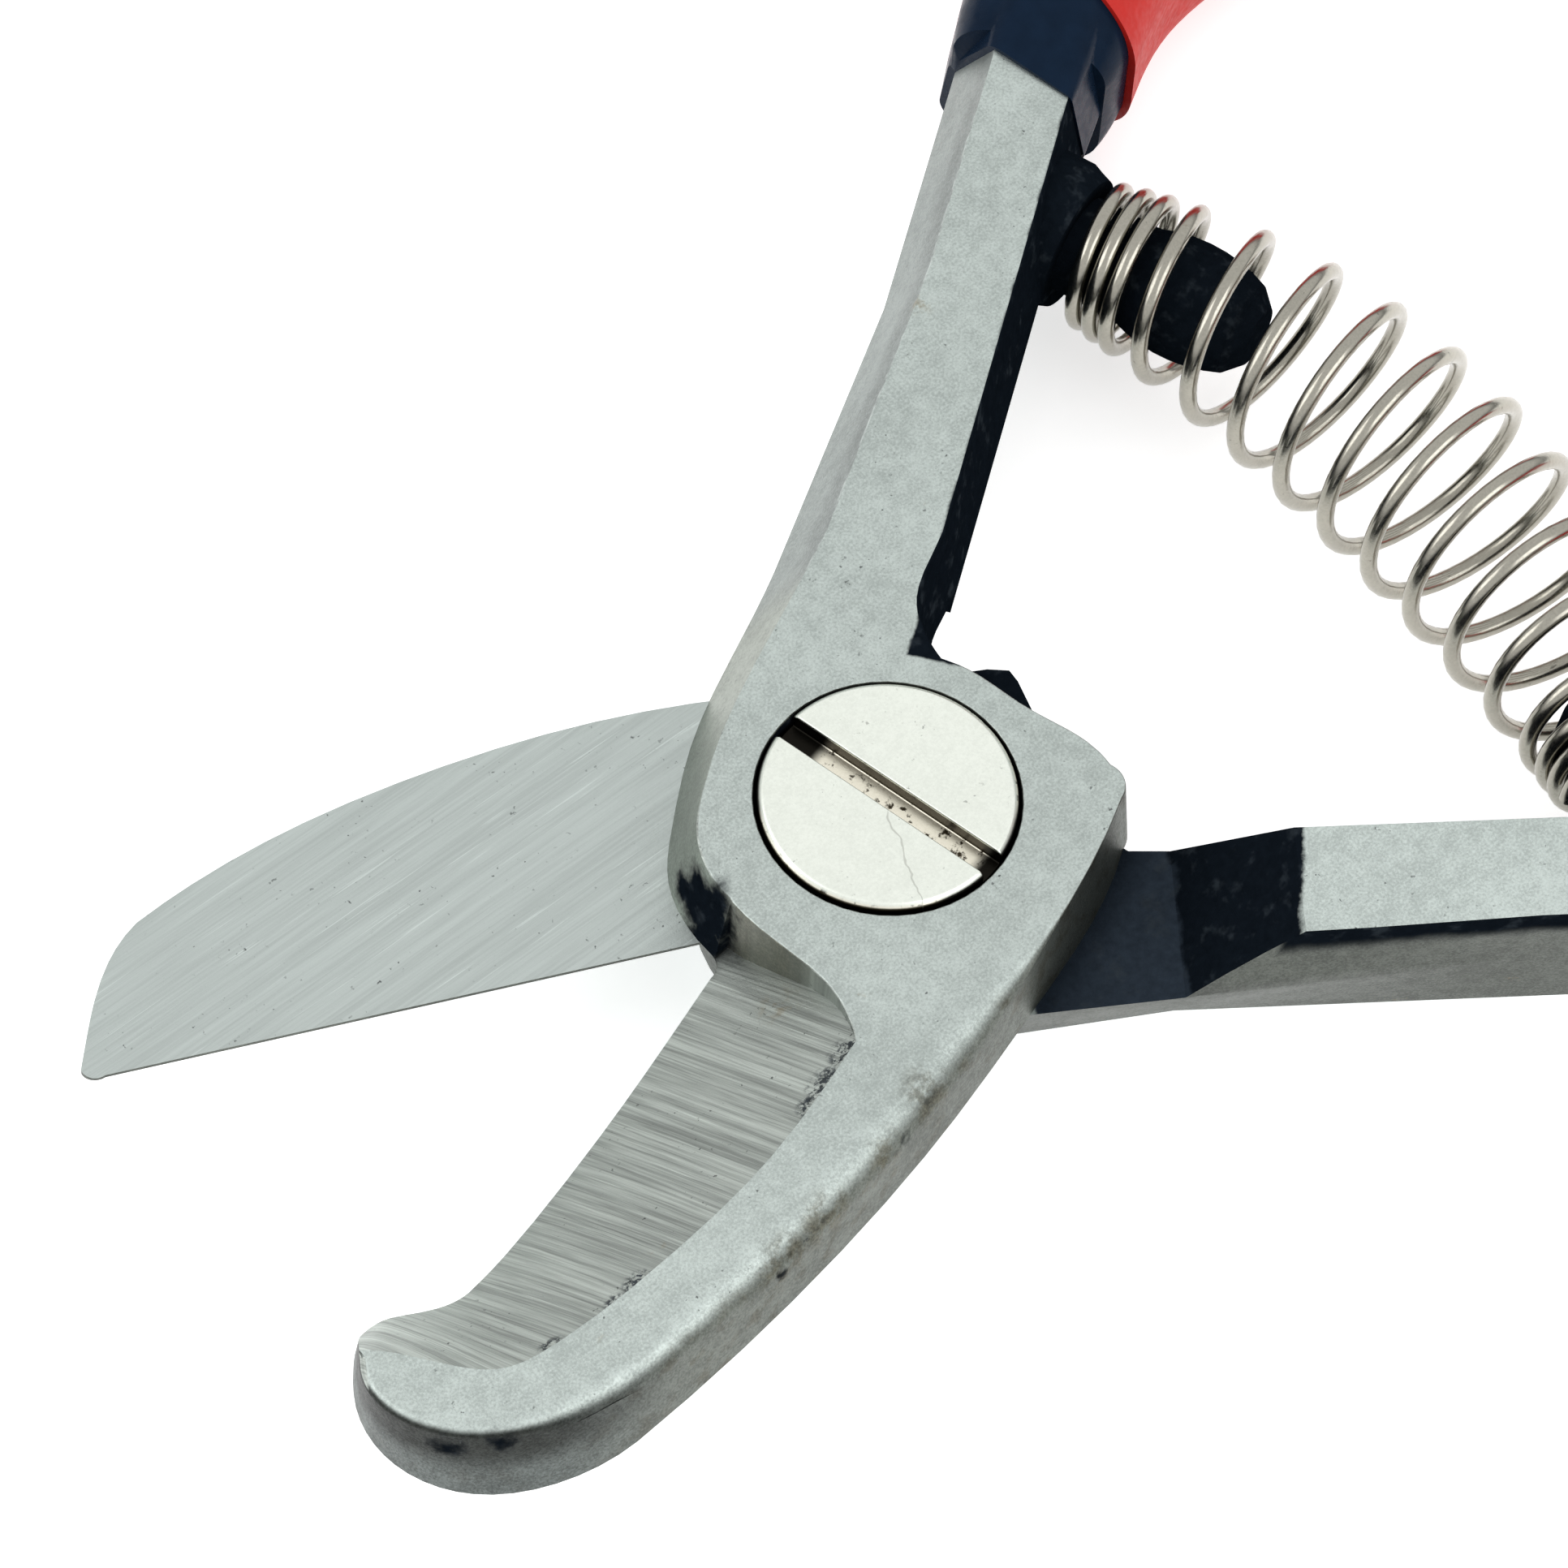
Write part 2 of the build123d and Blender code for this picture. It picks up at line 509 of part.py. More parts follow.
with BuildPart() as return_spring:
    with BuildLine() as spring_wire:
        for half_turn in range(int(2 * COIL_COUNT)):
            turn = half_turn / 2
            next_turn = turn + 0.5
            add_biarc(spring_point(turn), spring_direction(turn),
                      spring_point(next_turn), spring_direction(next_turn))
    with BuildSketch(Plane(origin=spring_point(0), z_dir=spring_direction(0))):
        Circle(WIRE_RADIUS)
    sweep()

POINTS_A_TURN = 48
wire_points = [spring_point(step / POINTS_A_TURN) for step in range(int(COIL_COUNT * POINTS_A_TURN))]
least_gap = min((first - second).length
                for place, first in enumerate(wire_points)
                for second in wire_points[place + POINTS_A_TURN // 2:]) - 2 * WIRE_RADIUS
print(f"spring: least gap to itself {least_gap:.2f}, open pitch {open_pitch:.2f}, axis {axis_length:.1f}")


# Grips: a black sleeve over each core, and a cover whose front edge slants back to the outer side
def sleeve_body(half):
    """Sleeve of one handle as if solid: thin collar on the tang, cut at a slant, and the grip behind it."""
    ahead, outside = directions(half)
    with BuildPart() as body:
        for along, wall, corner in [(0, COLLAR_FRONT_WALL, COLLAR_FRONT_ROUND),
                                    (COLLAR_LENGTH, COLLAR_BACK_WALL, COLLAR_BACK_ROUND)]:
            origin = ahead * (COLLAR_START + along) + Vector(0, 0, SHEAR_Z)
            with BuildSketch(Plane(origin=origin, x_dir=outside, z_dir=ahead)):
                Polygon(*tang_section(half), align=None)
                offset(amount=-corner, kind=Kind.INTERSECTION)
                offset(amount=corner + wall)
        loft()
        add(grip_body(half, SLEEVE_SECTIONS))
        middle = ahead * COLLAR_MIDDLE + outside * TANG_CENTRE + Vector(0, 0, SHEAR_Z + half * HALF_THICK)
        slanted = ahead - outside * COLLAR_SLANT + Vector(0, 0, half * COLLAR_TILT)
        split(bisect_by=Plane(origin=middle, z_dir=slanted), keep=Keep.TOP)
    return body.part


def make_sleeve(half, forging):
    """Sleeve of one handle, hollow where the forging fills it."""
    with BuildPart() as sleeve:
        add(sleeve_body(half))
        add(forging, mode=Mode.SUBTRACT)
    return sleeve.part


def make_cover(half):
    """Cover of one handle, a shell over its sleeve."""
    body, hollow = grip_body(half, COVER_SECTIONS), sleeve_body(half)
    front = grip_plane(half, COVER_START)
    slanted = front.z_dir - front.x_dir * COVER_SLANT
    with BuildPart() as cover:
        add(body)
        add(hollow, mode=Mode.SUBTRACT)
        split(bisect_by=Plane(origin=front.origin, z_dir=slanted), keep=Keep.TOP)
        split(bisect_by=grip_plane(half, SLEEVE_LENGTH - COVER_END_SETBACK), keep=Keep.BOTTOM)
    return cover.part


hook_grip_sleeve = make_sleeve(HOOK, hook_forging.part)
blade_grip_sleeve = make_sleeve(BLADE, blade_forging.part)
hook_grip_cover = make_cover(HOOK)
blade_grip_cover = make_cover(BLADE)

# Wire catch: a loop that turns in the hook half's tab and drops behind the blade half's tab
bail_hole = grip_plane(HOOK, SLEEVE_LENGTH + BAIL_HOLE_ALONG)
closed_notch = notch.rotate(Axis.Z, CLOSING_ANGLE)
bail_reach = (closed_notch - bail_hole.origin).length
catch_angle = (closed_notch - bail_hole.origin).get_signed_angle(bail_hole.z_dir, Vector(0, 0, -1))
print(f"catch: pivot {bail_hole.origin}, reach {bail_reach:.2f}, latched at {catch_angle:.2f} degrees")
leg_height = CORE_THICK / 2 + BAIL_LEG_GAP + BAIL_WIRE_RADIUS
pin_end = CORE_THICK / 2 - BAIL_PIN_DEPTH
with BuildPart() as catch_bail:
    bail_plane = Plane(origin=bail_hole.origin, x_dir=bail_hole.z_dir, z_dir=-bail_hole.x_dir)
    with BuildLine(bail_plane) as bail_wire:
        FilletPolyline((0, pin_end), (0, leg_height), (bail_reach, leg_height), (bail_reach, -leg_height),
                       (0, -leg_height), (0, -pin_end),
                       radius=[BAIL_PIN_CORNER, BAIL_BAR_CORNER, BAIL_BAR_CORNER, BAIL_PIN_CORNER])
    with BuildSketch(Plane(origin=bail_wire.line @ 0, z_dir=bail_wire.line % 0)):
        Circle(BAIL_WIRE_RADIUS)
    sweep()

# One file for each piece
pieces = {
    "hook_forging": hook_forging.part,
    "hook_grip_sleeve": hook_grip_sleeve,
    "hook_grip_cover": hook_grip_cover,
    "return_spring": return_spring.part,
    "blade_forging": blade_forging.part,
    "blade_grip_sleeve": blade_grip_sleeve,
    "blade_grip_cover": blade_grip_cover,
    "pivot_bolt": pivot_bolt.part,
    "thrust_washer": thrust_washer.part,
    "lock_washer": lock_washer.part,
    "pivot_nut": pivot_nut.part,
    "catch_bail": catch_bail.part,
}
os.makedirs("parts", exist_ok=True)
for name, piece in pieces.items():
    piece.label = name
    export_step(piece, f"parts/{name}.step")
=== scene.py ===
from math import asin, cos, pi, radians, sin

import bmesh
import bpy
from bpy.props import FloatProperty, FloatVectorProperty, IntProperty, PointerProperty
from mathutils import Matrix, Vector
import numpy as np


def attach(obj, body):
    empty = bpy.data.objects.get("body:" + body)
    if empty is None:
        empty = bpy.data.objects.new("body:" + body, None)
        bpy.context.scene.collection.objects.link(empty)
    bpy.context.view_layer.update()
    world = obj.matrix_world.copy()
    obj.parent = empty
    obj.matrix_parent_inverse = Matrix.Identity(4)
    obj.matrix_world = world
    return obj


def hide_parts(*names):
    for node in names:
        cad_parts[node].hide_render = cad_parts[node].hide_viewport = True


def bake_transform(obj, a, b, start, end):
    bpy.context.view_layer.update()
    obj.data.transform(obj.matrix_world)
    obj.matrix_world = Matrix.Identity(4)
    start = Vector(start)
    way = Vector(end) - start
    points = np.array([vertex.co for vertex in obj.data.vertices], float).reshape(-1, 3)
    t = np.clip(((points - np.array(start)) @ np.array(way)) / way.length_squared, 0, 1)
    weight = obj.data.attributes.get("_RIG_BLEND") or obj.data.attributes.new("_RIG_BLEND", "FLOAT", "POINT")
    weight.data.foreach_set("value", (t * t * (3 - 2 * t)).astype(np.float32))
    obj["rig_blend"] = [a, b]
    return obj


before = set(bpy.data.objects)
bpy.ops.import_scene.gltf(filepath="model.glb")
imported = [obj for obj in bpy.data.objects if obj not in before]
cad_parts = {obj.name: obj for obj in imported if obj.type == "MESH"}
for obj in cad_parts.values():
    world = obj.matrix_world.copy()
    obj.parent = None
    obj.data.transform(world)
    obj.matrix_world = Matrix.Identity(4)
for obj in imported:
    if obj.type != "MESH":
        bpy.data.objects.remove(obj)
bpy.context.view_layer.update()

bl_info = {
    "name": "Pruning shears",
    "version": (1, 0, 0),
    "blender": (4, 5, 0),
    "location": "3D View > Sidebar > Shears",
    "description": "Surfaces, spring and stage of a pair of pruning shears",
    "category": "Object",
}

# Sizes that the forgings were built with, in millimetres and degrees
MM = 0.001
SHEAR_Z = 9.5
HOOK_TOP = 16.0
HEAD_TOP = 16.5
COUNTERBORE_RADIUS = 8.85
SLOT_ANGLE = -77.0
HANDLE_ANGLE = 36.0
PEG_ALONG = 51.5
PEG_LEAN = 17.5
PEG_SEAT = 1.55
HOOK_FACE_INNER = 1.3
BLADE_FACE_INNER = 2.2
BLADE_FACE_OUTER = 9.7
RAMP_START = 19.0
RAMP_END = 26.4
HOOK, BLADE = 1, -1

# Level direction that the hook boss's outer side faces, and how far that side is from the pivot
BOSS_SIDE = Vector((-0.394, 0.919, 0))
BOSS_SIDE_AWAY = 12.06

# Level direction across the hairline scratch on the bolt's head, and how far it is from the pivot
HAIR_ACROSS = (0.94, -0.342, 0)
HAIR_AWAY = 0.6

# Headings of the grinding lines in plan, in degrees
BEVEL_LINES = -77.0
BLADE_LINES = 0.0

# Upward part of a face's normal, from flat faces to the limit below which a wall is steep
FLAT = 0.999
LEVEL = 0.97
LEANING = 0.9
STEEP = 0.35

# Edges sharper than these are rounded or shaded as creases
ROUNDED_ANGLE = radians(24)
CREASE_ANGLE = radians(20)
MOULDED_CREASE = radians(60)

# Angle up to which neighbouring faces count as flat
FLAT_ANGLE = radians(0.2)

# Points nearer than this are one point, and smaller roundings are left out
SMALLEST = 0.001 * MM

# How near a face has to be to a height, in millimetres, and the limit of a rim corner's miter
HEIGHT_WITHIN = 0.01
SHARPEST_MITER = 0.4

# Rows of faces in a softened rim, and segments in a rounded edge
RIM_ROWS = 5
EDGE_SEGMENTS = 4

# Tints on the metal: dirt, wear, rust and heat marks, with painted sheen and painted shade among them
SHEEN = (0.030, 0.038, 0.046)
SPECK = (0.06, 0.065, 0.065)
WALL_BROWN = (0.075, 0.068, 0.046)
EDGE_BROWN = (0.10, 0.092, 0.062)
STOP_BROWN_AND_SHADE = (0.13, 0.125, 0.09)
TIP_GREY = (0.100, 0.115, 0.117)
SLOT_FLOOR = (0.92, 0.88, 0.74)
SLOT_END = (0.012, 0.011, 0.009)
HAIRLINE = (0.25, 0.25, 0.22)
PLATE_RUST = (0.20, 0.12, 0.05)

# Round spots on the forgings as x, y, z and radius, in millimetres
HOOK_RUST = ((14.5, 5.5, 14, 2.2), (-27, -28.5, HOOK_TOP, 1.0), (21.7, 6.3, 13.5, 0.9))
BLADE_RUST = ((-26.5, 27.0, HOOK_TOP, 0.6), (-18.5, 23.5, HOOK_TOP, 0.6))
BEVEL_FOOT_SCALE = (
    (14.2, -2.6, 12.5, 3.0), (13.6, -1.4, 14.6, 1.4), (13.6, -4.8, 12.0, 1.6), (14.6, -1.6, 10.5, 2.4))
TIP_SCALE = ((50.9, 18.6, 14.4, 1.0), (48.6, 20.4, 14.8, 0.7))
BEVEL_EDGE_PATCHES = (
    (14.4, 12.7, HOOK_TOP, 1.2), (16.8, 13.7, HOOK_TOP, 1.4), (18.6, 14.4, HOOK_TOP, 1.0),
    (35.0, 17.4, HOOK_TOP, 1.2), (37.0, 17.6, HOOK_TOP, 0.9), (42.0, 17.5, HOOK_TOP, 1.0))
RUBBED_EDGE = (
    (12.0, 17.9, 14.8, 2.2), (16.5, 19.6, 14.8, 1.8), (22.5, 21.2, 14.8, 2.4), (26.5, 21.9, 14.5, 2.6))
EDGE_POCKS = (
    (12.0, 17.8, 14.6, 0.5), (15.0, 19.0, 14.4, 0.5), (22.8, 21.2, 15.0, 0.6), (27.0, 22.1, 14.0, 0.8),
    (26.0, 21.8, 14.8, 0.5))
SHOULDER_SCALE = ((-15.0, -4.0, 9.0, 4.5),)

# Stage sizes in metres, the lamps' power in watts and the camera's sensor in millimetres
FLOOR_HALF = 3.0
FLOOR_GAP = 0.05 * MM
LAMP_SIZE = 0.7
LAMP_POWER = 3.0
LAMPS = {"front_softbox": (0.75, -0.55, 0.75), "back_softbox": (-0.2, 0.9, 0.7)}
CLIP_START = 0.01
SENSOR_WIDTH = 36


def tang_directions(half):
    """Plan directions of a half's straight tang: away from the pivot, and outwards."""
    heading = radians(180 + half * HANDLE_ANGLE)
    ahead = Vector((cos(heading), sin(heading), 0))
    outside = Vector((-sin(heading), cos(heading), 0)) * half
    return ahead, outside


def ease(value, low, high):
    """Smooth step from 0 at low to 1 at high."""
    share = min(1, max(0, (value - low) / (high - low)))
    return share * share * (3 - 2 * share)


def tinted(colour, share):
    """A colour made lighter or darker."""
    return tuple(min(1, share * part) for part in colour)


def colour_setting(name, description, default):
    """A colour that a user can change."""
    return FloatVectorProperty(
        name=name, description=description, subtype="COLOR", default=default, min=0, max=1)


def length_setting(name, description, millimetres):
    """A length that a user can change, given in millimetres."""
    return FloatProperty(
        name=name, description=description, unit="LENGTH", default=millimetres * MM, min=0)


def angle_setting(name, description, degrees):
    """An angle that a user can change, given in degrees."""
    return FloatProperty(name=name, description=description, subtype="ANGLE", default=radians(degrees))


def dullness_setting(name, description, default):
    """A roughness from 0 to 1 that a user can change."""
    return FloatProperty(
        name=name, description=description, subtype="FACTOR", default=default, min=0, max=1)


class SteelSettings(bpy.types.PropertyGroup):
    """Finish of the two forged halves."""

    pale: colour_setting("Pale steel", "Tumbled face of the forgings", (0.49, 0.545, 0.52))
    # Forged wall colour: the walls' own finish, darkened as painted shade
    wall: colour_setting("Forged wall", "Side walls left by the forging dies", (0.160, 0.174, 0.154))
    ground: colour_setting("Ground bevel", "Coarse ground bevel of the hook", (0.415, 0.45, 0.42))
    blade: colour_setting("Blade face", "Brushed flat face of the blade", (0.50, 0.55, 0.53))
    slate: colour_setting("Thin scale", "Slate grey scale on the neck", (0.021, 0.029, 0.040))
    black: colour_setting("Thick scale", "Blue-black scale on walls and ramp", (0.005, 0.0075, 0.011))
    rust: colour_setting("Rust", "Small brown stains", (0.25, 0.18, 0.08))
    soft_edge: length_setting("Soft edge", "Rounding of the hook's outer edge", 2.2)
    crisp_edge: length_setting("Crisp edge", "Rounding of the other forged edges", 0.15)


class PivotSettings(bpy.types.PropertyGroup):
    """Finish of the pivot hardware."""

    nickel: colour_setting("Nickel", "Plating of the slotted bolt", (0.88, 0.92, 0.84))
    nickel_dullness: dullness_setting("Nickel dullness", "Roughness of the bolt's plating", 0.34)
    # Slot colour: dirt in the bolt's slot and painted shade inside it
    slot_grime_and_shade: colour_setting("Grime", "Dirt in the bolt's slot", (0.045, 0.036, 0.022))
    zinc: colour_setting("Zinc", "Plating of the nut and washers", (0.62, 0.64, 0.65))
    zinc_dullness: dullness_setting("Zinc dullness", "Roughness of the zinc plating", 0.36)
    edge: length_setting("Edge", "Rounding of the turned edges", 0.12)


class SpringSettings(bpy.types.PropertyGroup):
    """Barrel spring between the pegs, and the finish of its wire and the catch's."""

    nickel: colour_setting("Wire", "Nickelled spring wire", (0.38, 0.365, 0.315))
    dullness: dullness_setting("Wire dullness", "Roughness of the wire", 0.21)
    catch_edge: length_setting("Catch edge", "Rounding of the catch wire's sharp edges", 0.2)
    wire_radius: length_setting("Wire radius", "Half the wire's thickness", 0.62)
    end_radius: length_setting("End coil radius", "Middle of the wire at both ends", 4.7)
    middle_radius: length_setting("Middle coil radius", "Middle of the wire halfway along", 7.55)
    bow: length_setting("Bow", "How far the spring bows towards the grips", 5.5)
    end_gap: length_setting("End gap", "From the peg's seat to the first coil", 0.75)
    close_pitch: length_setting("Close pitch", "Rise of each close coil at the ends", 1.55)
    coils: FloatProperty(name="Coils", description="Turns from end to end", default=15.5, min=1)
    close_turns: FloatProperty(
        name="Close turns", description="Turns that lie close at each end", default=2.2, min=0)
    opening_turns: FloatProperty(
        name="Opening turns", description="Turns over which the pitch opens", default=1.6, min=0.1)
    steps: IntProperty(name="Steps", description="Rings of points on each turn", default=40, min=8)
    sides: IntProperty(name="Sides", description="Points round the wire", default=14, min=6)


class GripSettings(bpy.types.PropertyGroup):
    """Finish of the grips."""

    vinyl: colour_setting("Sleeve", "Dipped vinyl sleeve", (0.004, 0.010, 0.022))
    cover: colour_setting("Cover", "Grained cover", (0.56, 0.016, 0.010))


class StageSettings(bpy.types.PropertyGroup):
    """Floor, light and camera."""

    floor: colour_setting("Floor", "Plain pale floor", (0.90, 0.90, 0.90))
    lift: FloatProperty(
        name="Floor lift", description="Light that the floor adds where it is seen",
        default=0.54, min=0)
    sky: colour_setting("Sky", "Soft light from above", (0.95, 0.95, 0.95))
    horizon: colour_setting("Horizon", "Dim light from the sides", (0.12, 0.12, 0.125))
    aim: FloatVectorProperty(
        name="Aim", description="Point that the camera looks at", subtype="XYZ", unit="LENGTH",
        default=(2.054 * MM, -7.832 * MM, SHEAR_Z * MM))
    distance: length_setting("Distance", "From the aim to the camera", 450)
    azimuth: angle_setting("Azimuth", "Camera's way round the shears", 137)
    elevation: angle_setting("Elevation", "Camera's height above the horizon", 59.3)
    roll: angle_setting("Roll", "Tilt of the camera about its own line of sight", 3.8)
    lens: FloatProperty(
        name="Lens", description="Focal length on a 36 mm sensor, in millimetres",
        default=155.12, min=1)


# Node groups that materials share, by the function that builds each
EFFECTS = {}


class Wiring:
    """Adds nodes to one shader tree, each input fed by a socket or a plain value."""

    def __init__(self, tree):
        self.tree = tree

    def feed(self, socket, value):
        if isinstance(value, bpy.types.NodeSocket):
            self.tree.links.new(value, socket)
        elif value is not None:
            socket.default_value = value

    def add(self, kind, *values, **settings):
        """A node whose inputs are fed in order."""
        node = self.tree.nodes.new("ShaderNode" + kind)
        for name, value in settings.items():
            setattr(node, name, value)
        for socket, value in zip(node.inputs, values):
            self.feed(socket, value)
        return node

    def add_named(self, kind, inputs, **settings):
        """Outputs of a node whose inputs are fed by name."""
        node = self.add(kind, **settings)
        for name, value in inputs.items():
            self.feed(node.inputs[name], value)
        return node.outputs

    def fold(self, operation, values):
        """Joins any number of values with one operation."""
        total = values[0]
        for value in values[1:]:
            total = self.add("Math", total, value, operation=operation).outputs[0]
        return total

    def times(self, *values):
        return self.fold("MULTIPLY", values)

    def plus(self, *values):
        return self.fold("ADD", values)

    def minus(self, first, second):
        return self.fold("SUBTRACT", (first, second))

    def least(self, *values):
        return self.fold("MINIMUM", values)

    def most(self, *values):
        return self.fold("MAXIMUM", values)

    def size(self, value):
        return self.add("Math", value, operation="ABSOLUTE").outputs[0]

    def dot(self, vector, direction):
        if isinstance(direction, Vector):
            direction = tuple(direction)
        return self.add("VectorMath", vector, direction, operation="DOT_PRODUCT").outputs["Value"]

    def stretch(self, vector, amounts):
        return self.add("VectorMath", vector, tuple(amounts), operation="MULTIPLY").outputs[0]

    def split(self, vector):
        return self.add("SeparateXYZ", vector).outputs

    def between(self, value, low, high, first=0.0, last=1.0):
        """Eases from first to last while value goes from low to high."""
        node = self.add("MapRange", value, low, high, first, last, interpolation_type="SMOOTHSTEP")
        return node.outputs[0]

    def mix(self, share, first, second):
        """Colour that goes from first to second as the share goes from 0 to 1."""
        node = self.add("Mix", data_type="RGBA")
        for place, value in {0: share, 6: first, 7: second}.items():
            if place != 0 and not isinstance(value, bpy.types.NodeSocket):
                value = (*value, 1)
            self.feed(node.inputs[place], value)
        return node.outputs[2]

    def noise(self, where, scale, detail=2.0, roughness=0.5):
        inputs = {"Vector": where, "Scale": scale, "Detail": detail, "Roughness": roughness}
        return self.add_named("TexNoise", inputs)["Fac"]

    def patches(self, where, scale, detail, roughness, low, high):
        """Mask of uneven patches, where a noise rises from low to high."""
        return self.between(self.noise(where, scale, detail, roughness), low, high)

    def spots(self, where, places):
        """Distance inside the nearest of several round spots."""
        inside = []
        for *centre, radius in places:
            away = self.add("VectorMath", where, tuple(centre), operation="DISTANCE")
            inside.append(self.minus(radius, away.outputs["Value"]))
        return self.most(*inside)

    def effect(self, build, **inputs):
        """Outputs of a node group that several materials share, built when it is first asked for."""
        if build not in EFFECTS:
            EFFECTS[build] = build()
        return self.add_named("Group", inputs, node_tree=EFFECTS[build])


def new_group(name, inputs, outputs):
    """An empty shader node group with named sockets: its wiring and both ends."""
    tree = bpy.data.node_groups.new(name, "ShaderNodeTree")
    for direction, sockets in (("INPUT", inputs), ("OUTPUT", outputs)):
        for socket, kind in sockets.items():
            tree.interface.new_socket(socket, in_out=direction, socket_type="NodeSocket" + kind)
    entry = tree.nodes.new("NodeGroupInput").outputs
    leave = tree.nodes.new("NodeGroupOutput").inputs
    return Wiring(tree), entry, leave


def tumbled_steel_group():
    """Fine mottling, pits and dark specks of a tumbled metal face."""
    wires, entry, leave = new_group(
        "Tumbled steel", {"Position": "Vector"}, {"Tone": "Float", "Speck": "Float", "Height": "Float"})
    where = entry["Position"]
    cloud = wires.noise(where, 0.11, 3)
    blotch = wires.noise(where, 0.8, 3, 0.6)
    grain = wires.noise(where, 5.0, 3, 0.7)
    tone = wires.plus(wires.times(cloud, 0.20), wires.times(blotch, 0.25), wires.times(grain, 0.55))
    sparse = wires.patches(where, 0.35, 2, 0.5, 0.45, 0.65)
    speck = wires.patches(where, 2.4, 2, 0.55, 0.67, 0.74)
    wires.feed(leave["Tone"], wires.between(tone, 0.36, 0.64))
    wires.feed(leave["Speck"], wires.times(speck, sparse))
    wires.feed(leave["Height"], wires.plus(wires.times(blotch, 0.5), grain))
    return wires.tree


def grind_lines_group():
    """Parallel scratches of a grinding wheel along a given direction."""
    wires, entry, leave = new_group(
        "Grind lines", {"Position": "Vector", "Across": "Vector", "Along": "Vector"},
        {"Tone": "Float", "Scratch": "Float", "Height": "Float"})
    across = wires.dot(entry["Position"], entry["Across"])
    along = wires.dot(entry["Position"], entry["Along"])
    lined = wires.add("CombineXYZ", across, wires.times(along, 0.02)).outputs[0]
    coarse = wires.noise(lined, 1.1, 2)
    fine = wires.noise(lined, 5.0, 3, 0.7)
    tone = wires.plus(wires.times(coarse, 0.45), wires.times(fine, 0.55))
    broken = wires.patches(lined, 0.9, 2, 0.5, 0.48, 0.58)
    scratch = wires.patches(lined, 6.0, 1, 0.5, 0.62, 0.72)
    wires.feed(leave["Tone"], wires.between(tone, 0.34, 0.66))
    wires.feed(leave["Scratch"], wires.times(broken, scratch))
    wires.feed(leave["Height"], tone)
    return wires.tree


def ragged_patch_group():
    """Mask of a patch with a torn edge: inside where the distance is positive, in millimetres."""
    wires, entry, leave = new_group(
        "Ragged patch",
        {"Position": "Vector", "Distance": "Float", "Raggedness": "Float", "Softness": "Float"},
        {"Mask": "Float"})
    where = entry["Position"]
    broad = wires.minus(wires.noise(where, 0.45, 2), 0.5)
    fine = wires.minus(wires.noise(where, 1.9, 3, 0.6), 0.5)
    torn = wires.plus(wires.times(broad, 2.0), wires.times(fine, 0.8))
    depth = wires.plus(entry["Distance"], wires.times(torn, entry["Raggedness"]))
    soft = entry["Softness"]
    wires.feed(leave["Mask"], wires.between(depth, wires.times(soft, -1.0), soft))
    return wires.tree


def stains_group():
    """Sparse small rust stains."""
    wires, entry, leave = new_group("Rust stains", {"Position": "Vector"}, {"Mask": "Float"})
    where = entry["Position"]
    spot = wires.patches(where, 0.42, 3, 0.6, 0.71, 0.80)
    torn = wires.patches(where, 3.0, 3, 0.5, 0.40, 0.62)
    wires.feed(leave["Mask"], wires.times(spot, torn))
    return wires.tree


class Surface(Wiring):
    """A material with its own Principled shader, rest position in millimetres and rest normal."""

    def __init__(self, name, viewport):
        self.material = bpy.data.materials.new(name)
        self.material.diffuse_color = (*viewport, 1)
        self.material.use_nodes = True
        super().__init__(self.material.node_tree)
        self.shader = self.tree.nodes["Principled BSDF"]
        place = self.add("TexCoord").outputs
        self.position = self.stretch(place["Object"], (1 / MM, 1 / MM, 1 / MM))
        self.normal = place["Normal"]

    def give(self, name, value):
        """Feeds one of the shader's inputs."""
        self.feed(self.shader.inputs[name], value)

    def bump(self, height, strength, depth):
        """Feeds the shader's normal from a height, with a depth in millimetres."""
        inputs = {"Height": height, "Strength": strength, "Distance": depth * MM}
        self.give("Normal", self.add_named("Bump", inputs)["Normal"])


